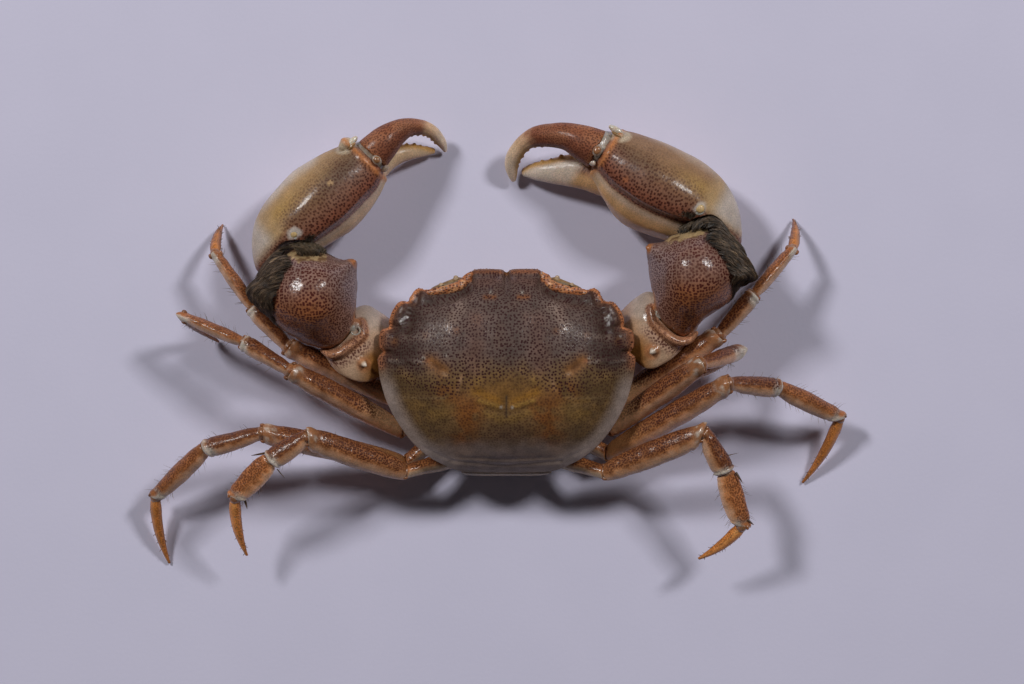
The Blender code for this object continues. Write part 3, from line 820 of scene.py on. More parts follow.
MATERIALS = {
    "back": shell_material("back_shell", cell=0.405, dot=(0.20, 0.42), gloss=0.48, coat=0.9,
                           coat_rough=0.10, bump=0.06, shine=0.18,
                           spot=np.array([0.040, 0.009, 0.009])),
    "rim": shell_material("rim_shell", cell=0.40, dot=(0.18, 0.40), gloss=0.4, coat=0.5,
                          coat_rough=0.14, glow=0.1, bump=0.06,
                          spot=np.array([0.075, 0.018, 0.012])),
    "under": shell_material("under_shell", gloss=0.42, coat=0.3, glow=0.15, mottle=0.12),
    "palm": shell_material("palm_shell", cell=0.37, dot=(0.20, 0.46), gloss=0.46, coat=0.9,
                           coat_rough=0.21, glow=0.15, bump=0.04, mottle=0.1, shine=0.22,
                           spot=np.array([0.066, 0.014, 0.008])),
    "wrist": shell_material("wrist_shell", cell=0.405, dot=(0.25, 0.50), gloss=0.46, coat=0.65,
                            coat_rough=0.13, bump=0.045, mottle=0.14, shine=0.18,
                            spot=np.array([0.078, 0.013, 0.009])),
    "leg": shell_material("leg_shell", cell=0.29, dot=(0.26, 0.60), gloss=0.42, coat=0.55,
                          coat_rough=0.12, glow=0.12, bump=0.06, shine=0.2,
                          spot=np.array([0.078, 0.018, 0.008])),
    "skin": shell_material("joint_skin", gloss=0.3, coat=0.6, glow=0.35, bump=0.04, mottle=0.2),
    "eye": shell_material("eye_shell", gloss=0.25, coat=0.8, coat_rough=0.06, bump=0.012),
    "fur": hair_material("fur_hair", 0.5),
    "bristle": hair_material("leg_bristle", 0.4),
}


# Body

def full_edge():
    """The whole edge of the carapace, going round from the middle of the front."""
    right = np.array(CARAPACE_EDGE)
    return np.concatenate([right, right[-2:0:-1] * np.array([-1.0, 1.0, 1.0])])


def eased(points, passes):
    for _ in range(passes):
        points = (np.roll(points, 1, axis=0) + points * 2 + np.roll(points, -1, axis=0)) / 4
    return points


def carapace_walls(sharp, soft):
    """Rings from the toothed edge down and under, where the body's parts begin."""
    count = len(sharp)
    corner = np.minimum(np.arange(count), count - np.arange(count))
    in_orbit = (corner >= ORBIT_CORNERS[0]) & (corner <= ORBIT_CORNERS[1])
    angle = np.degrees(np.arctan2(soft[:, 1], np.abs(soft[:, 0])))
    face = ramp(angle, 40, 56)
    rear = ramp(-angle, 25, 60)
    roof = SIDE_FLOOR + (REAR_FLOOR - SIDE_FLOOR) * rear
    floor = roof + (MOUTH_FLOOR - roof) * face
    recess = np.where(in_orbit, 1 - ORBIT_DEPTH / np.linalg.norm(soft, axis=1), 0.965)
    cheek = 0.9 + 0.02 * rear - 0.03 * face
    inside = 0.78 + 0.12 * rear
    levels = (
        (0.992 + 0 * rear, sharp[:, 2] - RIM_THICKNESS, sharp),
        (recess, sharp[:, 2] - 1.2, soft),
        (np.minimum(cheek, recess), sharp[:, 2] - 2.1 - 0.5 * face, soft),
        (inside + (0.64 - inside) * face, floor, soft),
        (inside - 0.05 + (0.62 - inside) * face, floor, soft),
        (inside - 0.12 + (0.66 - inside) * face, roof, soft),
    )
    return [
        np.stack([source[:, 0] * share, source[:, 1] * share, height], axis=1)
        for share, height, source in levels
    ]


# Ridges (positive) and grooves of the right half of the back: start, end, width, height
BACK_RELIEF = [
    ((1.8, 9.35), (1.85, 9.35), 0.40, 0.20),
    ((2.9, 8.75), (5.4, 8.55), 0.6, 0.12),
    ((0.0, 12.3), (0.0, 9.8), 0.36, -0.22),
    ((0.6, 11.80), (3.75, 11.75), 0.22, 0.14),
    ((0.8, 11.25), (3.7, 11.25), 0.22, -0.09),
    ((4.7, 9.6), (6.2, 8.75), 0.40, -0.16),
    ((6.2, 8.75), (9.5, 8.15), 0.55, -0.26),
    ((9.80, 9.5), (9.95, 8.1), 0.20, 0.17),
    ((10.30, 9.3), (10.60, 8.0), 0.18, -0.16),
    ((10.75, 9.2), (11.55, 7.6), 0.26, 0.20),
    ((11.65, 8.3), (11.5, 6.9), 0.24, -0.20),
    ((12.15, 7.7), (13.10, 6.2), 0.50, 0.30),
    ((13.85, 5.6), (12.7, 5.3), 0.22, -0.20),
    ((14.05, 4.5), (14.25, 3.1), 0.45, 0.22),
    ((14.65, 2.3), (13.7, 2.3), 0.20, -0.16),
    ((11.3, 6.9), (11.9, 4.4), 0.70, -0.24),
    ((13.2, 4.4), (13.5, 3.0), 0.50, -0.14),
    ((8.9, 1.35), (7.3, 0.1), 0.58, -0.13),
    ((5.3, -0.6), (5.7, -1.9), 0.22, -0.07),
    ((6.0, -2.1), (6.3, -3.6), 0.6, -0.06),
    ((4.6, -1.0), (3.4, -3.0), 0.7, -0.05),
    ((3.4, -3.3), (1.0, -4.1), 0.40, 0.06),
    ((3.2, -3.9), (0.9, -4.7), 0.40, -0.07),
    ((0.0, -2.6), (0.0, -5.0), 0.14, -0.05),
    ((4.2, -5.6), (5.0, -8.0), 0.8, -0.06),
    ((14.2, 1.30), (9.9, 1.15), 0.26, 0.09),
    ((9.70, 1.60), (9.70, 1.65), 0.20, 0.16),
    ((0.0, 0.5), (0.0, 3.0), 2.6, 0.08),
    ((9.5, -3.6), (8.0, -6.0), 2.4, 0.10),
    ((10.2, 3.6), (11.2, 2.8), 1.4, 0.10),
    ((12.4, -3.0), (7.0, -3.1), 0.20, 0.035),
    ((0.0, -10.3), (5.6, -10.15), 0.20, -0.07),
    ((0.0, -11.05), (6.4, -10.6), 0.20, -0.10),
    ((6.4, -10.6), (9.6, -9.0), 0.20, -0.08),
]


def brink(points):
    """How near each point is to the edge of the carapace, 1 on the edge."""
    edge = full_edge()[:, :2]
    return np.hypot(points[:, 0], points[:, 1]) / polar(edge, np.array([0.0, 0.0]), points)


def make_carapace():
    around = 520
    edge = full_edge()
    smooth = eased(edge, 5)
    walls = [spline(ring, around, True) for ring in carapace_walls(edge, smooth)]
    edge = spline(edge, around, True)
    smooth = spline(smooth, around, True)
    rings = []
    for share in np.concatenate([np.linspace(0.01, 0.8, 56), np.linspace(0.81, 1.0, 30)]):
        rim = smooth + (edge - smooth) * ramp(share, TEETH_FROM, 0.97)
        height = BACK_HEIGHT - (BACK_HEIGHT - rim[:, 2]) * share**BACK_CURVE
        rings.append(np.column_stack([rim[:, 0] * share, rim[:, 1] * share, height]))
    walls = list(spline([rings[-1]] + walls, 40, False)[1:])
    piece = make_mesh("carapace_shell", *shell_of(rings + walls, (0.0, 0.0)))
    points, normals = points_of(piece)
    x, y = np.abs(points[:, 0]), points[:, 1]
    top = ramp(normals[:, 2], -0.1, 0.35)
    lift = np.zeros(len(points))
    for start, end, width, height in BACK_RELIEF:
        lift += stroke(x, y, start, end, width) * height
    lumps = ramp(y, 2.5, 7.0) * ramp(x, 6, 10)
    lift += lumps * (noise(points, 0.55, 3) * 0.045 + noise(points, 1.3, 4) * 0.05)
    lift += noise(points, 0.9, 5) * 0.015 + noise(points, 2.6, 6) * 0.05
    push(piece, lift * top)
    paint_carapace(piece)
    place(piece, MATERIALS["back"], "carapace_shell", "carapace")
    return edge


# Stains of the back: start, end, width, colour and strength, the same on both sides
BACK_STAINS = [
    ((8.75, 1.2), (7.45, 0.2), 0.80, np.array([0.285, 0.120, 0.038]), 0.95),
    ((8.4, 0.9), (7.8, 0.5), 0.34, np.array([0.125, 0.050, 0.018]), 0.85),
    ((7.4, -0.1), (7.0, -0.3), 0.24, np.array([0.360, 0.210, 0.110]), 0.60),
    ((5.2, -0.4), (5.7, -2.0), 0.20, np.array([0.320, 0.180, 0.100]), 0.70),
    ((5.75, -2.0), (5.8, -2.1), 0.46, np.array([0.280, 0.125, 0.040]), 0.70),
    ((3.2, -0.9), (3.25, -0.95), 0.40, np.array([0.330, 0.180, 0.050]), 0.75),
    ((3.5, -2.3), (0.9, -3.5), 0.62, np.array([0.285, 0.128, 0.020]), 0.85),
    ((3.2, -3.3), (1.0, -3.95), 0.22, np.array([0.360, 0.195, 0.045]), 0.80),
    ((1.4, 8.75), (2.5, 8.75), 0.26, RUST * 1.2, 0.85),
    ((9.2, 1.35), (9.3, 1.3), 0.24, np.array([0.300, 0.115, 0.050]), 0.75),
    ((13.9, 1.3), (12.2, 1.1), 0.20, np.array([0.250, 0.190, 0.160]), 0.50),
    ((10.6, 1.15), (9.7, 1.1), 0.22, np.array([0.270, 0.210, 0.180]), 0.50),
    ((12.4, -3.0), (7.2, -3.1), 0.12, np.array([0.240, 0.160, 0.080]), 0.40),
    ((5.8, 4.8), (5.8, 4.85), 0.40, ORANGE * 0.6, 0.55),
    ((13.2, 3.5), (13.2, 3.6), 0.50, ORANGE * 0.6, 0.55),
    ((9.4, 4.2), (9.4, 4.3), 0.34, ORANGE * 0.5, 0.40),
    ((0.0, -2.8), (0.0, -5.2), 0.12, DARK * 3, 0.75),
    ((2.6, -4.6), (0.0, -5.5), 0.22, np.array([0.230, 0.130, 0.040]), 0.60),
    ((11.6, -0.6), (11.6, -0.7), 0.50, np.array([0.230, 0.135, 0.050]), 0.50),
    ((8.6, -5.2), (6.8, -4.2), 0.90, np.array([0.230, 0.130, 0.040]), 0.55),
    ((3.9, 0.5), (3.4, 6.0), 1.10, np.array([0.165, 0.080, 0.058]), 0.50),
    ((3.2, 10.6), (1.0, 10.9), 0.80, np.array([0.115, 0.055, 0.040]), 0.70),
]

def paint_carapace(piece):
    points, normals = points_of(piece)
    side, x, y = points[:, 0], np.abs(points[:, 0]), points[:, 1]
    near = brink(points)
    wander = noise(points, 2.2, 21) * 0.6 + noise(points, 0.8, 22) * 0.4
    front = ramp(y + wander, -0.9, 2.4)
    rear = ramp(-y - wander * 0.5, 7.4, 9.2)
    speckle = 0.4 + 2.2 * hill(x, 7.0, 4.2) - 0.6 * ramp(x, 11, 14)
    tint = OLIVE * (1.12 + 0.22 * noise(points, 0.7, 31) + 0.16 * noise(points, 0.3, 32))[:, None]
    tint = blend(tint, OLIVE * 0.70, ramp(x, 3.5, 7) * hill(y, -1.9, 1.1) * 0.75)
    tint = blend(tint, np.array([0.265, 0.145, 0.040]), ramp(noise(points, 0.9, 33), -0.3, 0.5) * hill(x, 9.0, 2.6) * hill(y, -4.3, 1.3) * 0.8)
    tint = blend(tint, np.array([0.190, 0.088, 0.020]), hill(x, 0, 4.6) * hill(y, -2.3, 1.9) * 0.85)
    tint = blend(tint, np.array([0.250, 0.135, 0.030]), stroke(x, y, (3.6, -4.2), (0.6, -5.6), 0.55) * 0.5)
    patchy = ramp(noise(points, 0.8, 23) + 0.6 * noise(points, 0.4, 24), -0.7, 0.3)
    brown = np.array([0.215, 0.078, 0.020])
    tint = blend(tint, brown, stroke(x, y, (4.2, -4.4), (5.0, -7.6), 1.7) * (0.35 + 0.65 * patchy))
    tint = blend(tint, brown, stroke(x, y, (7.2, -2.4), (4.8, -4.4), 1.3) * patchy * 0.75)
    tint = blend(tint, brown * 0.8, stroke(x, y, (5.6, -9.6), (3.0, -8.6), 0.8) * patchy * 0.5)
    tint = blend(tint, np.array([0.100, 0.054, 0.034]), hill(x, 0, 3.4) * hill(y, -7.6, 1.5) * 0.8)
    tint = blend(tint, LILAC * 1.55, rear * (0.8 + 0.2 * ramp(noise(points, 1.2, 30), -0.4, 0.4)))
    tint = blend(tint, SLATE * 0.92, front)
    tint = blend(tint, LILAC * 1.15, front * ramp(noise(points, 1.1, 34) - 0.4 * hill(x, 0, 3), 0.2, 0.9) * 0.45)
    tint = blend(tint, np.array([0.140, 0.078, 0.056]), front * ramp(noise(points, 1.4, 27), 0.0, 0.7) * 0.5)
    tint = blend(tint, SLATE * 0.75, front * hill(side, 0.5, 1.3) * 0.6)
    tint = blend(tint, np.array([0.062, 0.036, 0.027]), front * ramp(x, 8.0, 11.5) * 0.9)
    # Painted shade: darker in the trough behind each orbit
    tint = blend(tint, SLATE * 0.5, front * stroke(x, y, (4.6, 9.6), (9.3, 8.2), 0.70) * 0.85)
    # Painted sheen: a pale lilac patch on each front slope stands for the soft reflection of the lamps
    tint = blend(tint, LILAC * 1.9, front * stroke(x, y, (6.8, 5.4), (5.4, 7.6), 0.7) * 0.7)
    tint = blend(tint, LILAC * 1.2, front * stroke(x, y, (8.4, 4.4), (12.0, 4.0), 0.4) * 0.5)
    teeth = ramp(near, 0.90, 0.96) * ramp(y, 1.0, 3.0) * ramp(x, 9.0, 9.8)
    tint = blend(tint, np.array([0.120, 0.056, 0.036]), teeth * 0.8)
    for start, end, width, paint, weight in BACK_STAINS:
        tint = blend(tint, paint, stroke(x, y, start, end, width) * weight)
    # Small white dots on the back; the pair on the two bumps behind the front is painted glints
    for spot in ((-0.62, -4.08), (0.68, -4.10), (-1.8, 9.32), (1.85, 9.32), (-9.7, 1.62), (9.7, 1.62), (-7.1, 1.95)):
        tint = blend(tint, WHITE * 0.62, stroke(side, y, spot, spot, 0.15) * 0.9)
    # Pale band along the rear part of the side edges: partly the shell's pale border, partly painted light on the
    # sloping side faces
    pale = ramp(near, 0.84, 0.97) * ramp(-y, -1.0, 2.5) * ramp(y, -11.9, -9.8)
    tint = blend(tint, np.array([0.430, 0.340, 0.300]), pale * 0.9)
    fine = noise(points * np.array([0.3, 3, 1]), 0.5, 28)
    hem = ramp(near, 0.94, 0.985) * ramp(-y, 9.0, 11.0) * ramp(fine, -0.5, 0.2)
    tint = blend(tint, np.array([0.330, 0.250, 0.205]), hem * 0.7)
    edge = ramp(near, 0.962, 0.985) * ramp(y, 0.2, 1.6) * ramp(points[:, 2], 8.0, 8.8)
    orbit = ramp(x, 4.1, 4.5) * ramp(9.6 - x, 0.0, 0.4) * ramp(y, 8.0, 9.0)
    tint = blend(tint, np.array([0.640, 0.240, 0.095]), edge * (1 - orbit) * 0.95)
    lobe = stroke(x, y, (14.6, 4.6), (14.9, 3.0), 0.55) + stroke(x, y, (14.9, 1.6), (14.8, 0.8), 0.6)
    tint = blend(tint, np.array([0.360, 0.150, 0.080]), np.clip(lobe, 0, 1) * 0.85)
    face = ramp(y, 11.35, 11.75) * ramp(4.4 - x, 0.0, 0.3)
    tint = blend(tint, np.array([0.240, 0.090, 0.045]), face * 0.9)
    tint = blend(tint, np.array([0.360, 0.200, 0.130]), ramp(near, 0.985, 0.997) * ramp(y, 11.6, 11.9) * 0.6)
    tint = blend(tint, AMBER * 0.45, hill(x, 0, 0.4) * ramp(y, 11.0, 11.7))
    belly = ramp(-points[:, 2], -8.6, -7.2) * ramp(-normals[:, 2], -0.5, 0.2)
    tint = blend(tint, CREAM * 0.8, belly)
    dots = np.clip(ramp(y + wander * 0.5 + speckle, -0.9, 1.2) + 0.5 * (1 - rear), 0, 1)
    dots = dots * (1 - belly) * (1 - pale * 0.9) * (1 - 0.6 * hill(x, 0, 4.0) * hill(y, -2.8, 1.5))
    dots = dots * (1 - 0.9 * np.clip(stroke(x, y, (8.75, 1.2), (7.45, 0.2), 0.75), 0, 1))
    wet = 0.10 + 0.0 * x
    for start, end, width, weight in (
        ((11.6, 6.7), (12.2, 5.2), 0.75, 1.0),
        ((12.3, 5.2), (12.8, 4.6), 0.35, 0.9),
        ((9.8, 9.5), (9.95, 8.2), 0.26, 0.8),
        ((10.6, 9.2), (11.5, 7.7), 0.36, 0.9),
        ((12.3, 7.9), (13.4, 6.1), 0.32, 0.4),
        ((0.45, 11.7), (0.85, 11.0), 0.30, 0.9),
        ((4.5, 10.9), (4.3, 10.0), 0.30, 0.7),
        ((3.4, 11.3), (3.6, 10.9), 0.25, 0.5),
        ((1.85, 9.35), (1.9, 9.35), 0.30, 0.7),
        ((13.6, 5.0), (14.4, 4.9), 0.30, 0.5),
        ((6.8, 5.4), (5.4, 7.6), 0.60, 0.8),
    ):
        wet = wet + stroke(x, y, start, end, width) * weight
    wet = wet * (0.55 + 0.45 * ramp(noise(points, 0.35, 39), -0.3, 0.2))
    dry = 0.15 + rear * 0.15
    chart = dome_chart(points, normals, np.array([0.0, 0.0]), BACK_HEIGHT)
    colour(piece, tint, dots, dry, 0.35 + 0.35 * front, chart, wet)


RIM_BREADTHS = (0.55, 1.00, 1.20, 1.20, 1.12, 1.00, 0.76, 0.46)

def make_beads(edge):
    """Granules sunk in the edge, and the thick rolled rims of the orbits."""
    solids, tints = [], []
    length = np.concatenate([[0], np.cumsum(np.linalg.norm(np.diff(edge, axis=0), axis=1))])

    def bead(point, size, paint):
        solid = ball(point, (size, size, size * 0.8), (1, 0, 0), 10, 6)
        solids.append(solid)
        tints.append(np.broadcast_to(paint, solid[0].shape))

    for distance in np.arange(0, length[-1], 0.24):
        point = edge[int(np.searchsorted(length, distance)) % len(edge)]
        if point[1] < 0.9 or abs(point[0]) < 0.4 or 4.3 < abs(point[0]) < 9.4 and point[1] > 8:
            continue
        inward = unit(-point * np.array([1, 1, 0]))
        where = point + inward * random.uniform(0.02, 0.10) + UP * random.uniform(-0.14, 0.02)
        bead(where, random.uniform(0.07, 0.13), ORANGE * random.uniform(0.45, 1.05))
    for sign in SIDES.values():
        line = np.array([(x * sign, y, z) for x, y, z in ORBIT_RIM])
        breadth = np.array(RIM_BREADTHS)
        rim = shell_of(tube_rings(np.column_stack([line, breadth, breadth * 0.8]), 28, 150), (0.2, 0.2))
        bumps = noise(rim[0], 0.30, 25)[:, None] * np.array([0.03, 0.03, 0.06])
        rim = (rim[0] + bumps + noise(rim[0], 0.8, 29)[:, None] * 0.05, rim[1])
        solids.append(rim)
        light = ramp(noise(rim[0], 0.45, 26), -0.3, 0.6)
        tints.append(blend(np.broadcast_to(np.array([0.420, 0.145, 0.055]), rim[0].shape),
                           np.array([0.620, 0.290, 0.130]), light))
        fine = spline(line, 34, False)
        for point in fine[3:-3]:
            where = point + random.normal(0, 0.12, 3) + UP * 0.30
            bead(where, random.uniform(0.06, 0.11), ORANGE * random.uniform(0.7, 1.4))
        for share in np.concatenate([np.linspace(0, 0.35, 6), np.linspace(0.85, 1.0, 4)]):
            x = (14.2 - 4.4 * share) * sign + random.normal(0, 0.10)
            y = 1.35 - 0.25 * share + random.normal(0, 0.12)
            z = BACK_HEIGHT - (BACK_HEIGHT - 9.7) * (abs(x) / 15.0) ** BACK_CURVE + 0.06
            bead(np.array([x, y, z]), random.uniform(0.05, 0.10),
                 blend(CREAM, ORANGE, random.random()) * 0.75)
    piece = make_mesh("carapace_granules", *joined(*solids))
    points = points_of(piece)[0]
    colour(piece, np.concatenate(tints), 0.9, 0.0, 0.8, points[:, :2] * np.array([1.0, 1.3]), 0.4)
    place(piece, MATERIALS["rim"], "carapace_shell")


def tail_half_width(y):
    flat = np.array([(station[0], station[2]) for station in TAIL_STATIONS[4:]])
    if y > flat[-1][0]:
        return flat[-1][1] * max(1 - (y - flat[-1][0]), 0.0)
    return float(np.interp(y, flat[:, 0], flat[:, 1]))


def make_breast():
    rings = []
    for y, half, edge_height in BREAST_STATIONS:
        notch = min(tail_half_width(y) + 0.4, half * 0.85)
        flat = notch + 0.3
        right = [
            (notch, TAIL_GROOVE),
            (flat, BREAST_UNDERSIDE),
            (max(half * 0.75, flat + 0.2), BREAST_UNDERSIDE + 0.15),
            (half, edge_height),
            (half, BREAST_TOP - 0.9),
            (half * 0.88, BREAST_TOP),
        ]
        section = [(x, z) for x, z in right] + [(-x, z) for x, z in reversed(right)]
        section = np.array([(x, y, z) for x, z in section])
        fine = np.concatenate(
            [np.linspace(a, b, 12, endpoint=False) for a, b in zip(section, np.roll(section, -1, 0))]
        )
        rings.append(fine)
    rings = spline(rings, 90, False)
    for _ in range(3):
        rings = (np.roll(rings, 1, 1) + rings * 2 + np.roll(rings, -1, 1)) / 4
    piece = make_mesh("breast_plate", *shell_of(rings, (0.05, 0.05)))
    points, normals = points_of(piece)
    x, y = np.abs(points[:, 0]), points[:, 1]
    below = ramp(-normals[:, 2], 0.1, 0.6)
    seams = np.zeros(len(points))
    for start in (3.6, 0.6, -2.4, -5.2, -7.8):
        seams += stroke(x, y, (1.8, start - 0.9), (8.6, start + 0.7), 0.16)
    seams = np.clip(seams, 0, 1)
    push(piece, -seams * below * 0.16 + noise(points, 0.8, 31) * 0.02)
    tint = blend(np.broadcast_to(CREAM, points.shape), BONE, ramp(noise(points, 1.8, 32), -0.4, 0.6))
    tint = blend(tint, AMBER * 1.1, seams * 0.5)
    colour(piece, tint, 0.0, 0.2, 0.7)
    place(piece, MATERIALS["under"], "underside_shell", "sternum")


def plate_rings(stations, sections):
    """Rings of a thin plate that follows a path in the YZ plane."""
    middle = np.array([(station[0], station[1]) for station in stations], float)
    along = unit(np.gradient(middle, axis=0))
    rings = []
    for i, (centre_x, half, half_thick) in enumerate(sections):
        out = np.array([0.0, along[i, 1], -along[i, 0]])
        base = np.array([centre_x, middle[i, 0], middle[i, 1]])
        turn = np.arange(48) * 2 * math.pi / 48
        across = np.sign(np.cos(turn)) * np.abs(np.cos(turn)) ** 0.45 * half
        thick = np.sign(np.sin(turn)) * np.abs(np.sin(turn)) ** 0.6 * half_thick
        rings.append(base + np.outer(across, [1, 0, 0]) + np.outer(thick, out))
    return np.array(rings)


def make_tail_and_mouth():
    sections = [(0.0, half, TAIL_THICKNESS / 2) for _, _, half in TAIL_STATIONS]
    rings = spline(plate_rings(TAIL_STATIONS, sections), 150, False)
    piece = make_mesh("tail_flap_plates", *shell_of(rings, (0.1, 0.2)))
    points, normals = points_of(piece)
    y, z = points[:, 1], points[:, 2]
    seams = np.zeros(len(points))
    for where in (-8.9, -6.9, -4.9, -2.9, -0.8):
        seams += hill(y, where + 0.06 * np.abs(points[:, 0]) ** 1.5, 0.12) * ramp(1.6 - z, 0, 0.6)
    for where in (4.6, 3.7, 2.5, 1.4):
        seams += hill(z, where, 0.12) * ramp(-y, 10.8, 11.3)
    seams = np.clip(seams, 0, 1)
    outer = ramp(np.abs(normals[:, 0]) * -1, -0.9, -0.5)
    crown = hill(points[:, 0], 0, 1.2) * 0.06
    push(piece, -seams * outer * 0.11 - crown * ramp(-normals[:, 2], 0.5, 0.9)
         + noise(points, 0.7, 33) * 0.012)
    tint = blend(np.broadcast_to(CREAM * 0.9, points.shape), BONE, ramp(noise(points, 1.3, 34), -0.3, 0.7))
    tint = blend(tint, AMBER, seams * 0.45)
    colour(piece, tint, 0.0, 0.15, 0.6)
    place(piece, MATERIALS["under"], "underside_shell", "tail_flap")
    for side, sign in SIDES.items():
        sections = [
            (sign * (inner + outer_edge) / 2, (outer_edge - inner) / 2, thickness / 2)
            for _, _, inner, outer_edge, thickness in MOUTH_STATIONS
        ]
        rings = spline(plate_rings(MOUTH_STATIONS, sections), 60, False)
        piece = make_mesh("mouth_plate_shell_" + side, *shell_of(rings, (0.12, 0.12)))
        points, normals = points_of(piece)
        x, y = np.abs(points[:, 0]), points[:, 1]
        seams = hill(y, 8.35 + 0.05 * x, 0.12) + hill(x, 2.45, 0.1) * ramp(y, 5.6, 6.4)
        seams = np.clip(seams + hill(x, 1.1, 0.12) * ramp(8.2 - y, 0, 0.4) * 0.8, 0, 1)
        push(piece, -seams * 0.1 + noise(points, 0.6, 35) * 0.015)
        tint = blend(np.broadcast_to(CREAM * 0.8, points.shape), AMBER * 1.2, 0.25 + 0.5 * seams)
        colour(piece, tint, 0.15, 0.15, 0.7)
        place(piece, MATERIALS["under"], "underside_shell", "mouth_plate_" + side)


def make_eyes():
    for side, sign in SIDES.items():
        stations = [(sign * x, y - 0.14 - 0.20 * max(x - 6.4, 0), z, 1.75 * r, 1.85 * r)
                    for x, y, z, r in EYE_STATIONS]
        parts = [shell_of(tube_rings(stations, 32, 40), (0.1, 0.15))]
        knobs = [((6.0, 11.14, 8.35), 0.30), ((7.75, 10.34, 8.5), 0.22)]
        for (x, y, z), radius in knobs:
            parts.append(ball((sign * x, y, z), (radius, radius * 0.9, radius), (1, 0, 0), 20, 12))
        piece = fused("eye_shell_" + side, parts, 0.06, 3)
        points, _ = points_of(piece)
        x, y = np.abs(points[:, 0]), points[:, 1]
        tint = np.broadcast_to(np.array([0.230, 0.145, 0.070]), points.shape)
        tint = blend(tint, np.array([0.330, 0.190, 0.075]), ramp(y - 10.9 + 0.32 * (x - 5.5), -0.1, 0.4) * 0.8)
        tint = blend(tint, np.array([0.190, 0.170, 0.140]), stroke(x, y, (6.0, 10.5), (7.2, 10.2), 0.20) * 0.7)
        tint = blend(tint, np.array([0.150, 0.080, 0.030]), ramp(noise(points, 0.4, 41), 0.1, 0.6) * 0.7)
        tint = blend(tint, DARK * 0.4, ramp(stroke(x, y, (7.50, 9.98), (8.40, 9.62), 0.28), 0.35, 0.6))
        tint = blend(tint, np.array([0.180, 0.095, 0.045]), ramp(x, 8.6, 8.85))
        for (kx, ky, _), radius in knobs:
            tint = blend(tint, CREAM, ramp(-np.hypot(x - kx, y - ky), -radius * 1.15, -radius * 0.6))
        colour(piece, tint, 0.0, 0.0, 0.4)
        place(piece, MATERIALS["eye"], "eye", "eye_" + side)


# Claws

def wrist_rings(side, extra=0.0, around=24, outline=None):
    """Rings of the wrist from its top to its bottom, grown by extra."""
    centre = np.array([*WRIST_CENTRES[side], 9.0])
    outline = np.array(outline or WRIST_OUTLINES[side])
    ring = spline(outline, around, True)
    rings = []
    for share, height in WRIST_RINGS:
        offset = (ring - centre[:2]) * share
        lift = WRIST_LIFT * np.maximum(offset[:, 0] * SIDES[side], 0)
        lift = lift * (1 - ramp(height, 11.0, 15.5))
        points = np.column_stack([centre[:2] + offset, height + lift])
        rings.append(points + unit(points - centre) * extra)
    return np.array(rings)


# The hard shell of the wrist without its fur, in the order of the full outline
HARD_WRISTS = {
    "left": [
        (-17.85, 13.25),
        (-19.55, 13.20),
        (-21.20, 13.75),
        (-22.98, 14.05),
        (-24.40, 13.90),
        (-25.30, 13.30),
        (-26.05, 12.30),
        (-26.70, 11.00),
        (-27.20, 9.80),
        (-27.70, 8.60),
        (-27.95, 7.50),
        (-27.55, 6.40),
        (-26.66, 5.27),
        (-25.10, 4.09),
        (-22.74, 2.91),
        (-20.26, 2.91),
        (-18.65, 4.36),
        (-18.01, 6.10),
        (-17.78, 7.99),
        (-17.66, 10.00),
        (-17.70, 11.90),
    ],
    "right": [
        (16.60, 14.96),
        (18.37, 15.25),
        (19.40, 15.75),
        (20.60, 16.05),
        (21.70, 16.40),
        (22.70, 16.60),
        (23.70, 16.00),
        (24.80, 14.80),
        (25.70, 13.50),
        (26.40, 12.30),
        (27.00, 11.10),
        (27.10, 10.30),
        (26.80, 9.44),
        (26.07, 8.23),
        (24.75, 7.16),
        (23.00, 5.90),
        (21.68, 4.45),
        (20.26, 4.33),
        (18.72, 5.51),
        (17.66, 7.04),
        (17.54, 8.46),
        (16.95, 10.82),
        (16.71, 12.95),
    ],
}
# Inner spine of the wrist, the ball of its joint with the arm, and its joint with the palm
WRIST_SPINES = {
    "left": ((-19.3, 12.1, 9.8), (-17.95, 12.95, 9.75)),
    "right": ((17.9, 13.7, 9.8), (16.55, 14.65, 9.75)),
}
WRIST_BALLS = {"left": (-17.85, 4.95, 9.0), "right": (18.25, 6.95, 9.0)}
PALM_BALLS = {"left": (-24.97, 16.35, 10.45), "right": (22.67, 19.2, 11.0)}


# Middle line of the rolled rim of the right orbit
ORBIT_RIM = [
    (4.10, 11.60, 9.15),
    (4.55, 11.10, 9.35),
    (5.05, 10.48, 9.60),
    (5.85, 9.98, 9.80),
    (6.90, 9.66, 9.90),
    (8.10, 9.46, 9.90),
    (9.10, 9.34, 9.80),
    (9.85, 9.44, 9.60),
]

def make_sockets():
    """The floor of each orbit, which fills the space between the eye and the rim; its dark brown is painted shade."""
    for side, sign in SIDES.items():
        parts = [
            ball((sign * 6.2, 9.95, 7.7), (1.9, 0.70, 0.8), (1, -0.34 * sign, 0), 32, 20),
            ball((sign * 8.0, 9.45, 7.8), (1.3, 0.60, 0.7), (1, -0.2 * sign, 0), 32, 20),
        ]
        piece = fused("eye_socket_" + side, parts, 0.1, 3)
        points, _ = points_of(piece)
        # Dark brown mottled with rust: painted shade inside the orbit
        tint = blend(np.broadcast_to(np.array([0.060, 0.040, 0.018]), points.shape), RUST * 0.8,
                     ramp(noise(points, 0.5, 42), 0.0, 0.6) * 0.7)
        colour(piece, tint, 0.2, 0.0, 0.8)
        place(piece, MATERIALS["rim"], "carapace_shell")


# Bare tan strip between the fur pad and the crust of short fur on the edge next to the palm
BARE_STRIPS = {
    "left": ((-26.0, 14.6), (-24.2, 13.3), (-21.6, 13.5)),
    "right": ((23.3, 16.9), (21.7, 16.3), (19.2, 15.6)),
}

FUR_EDGE = 0.45

def bare_strip(side, x, y, width):
    first, middle, last = BARE_STRIPS[side]
    return np.maximum(stroke(x, y, first, middle, width), stroke(x, y, middle, last, width))


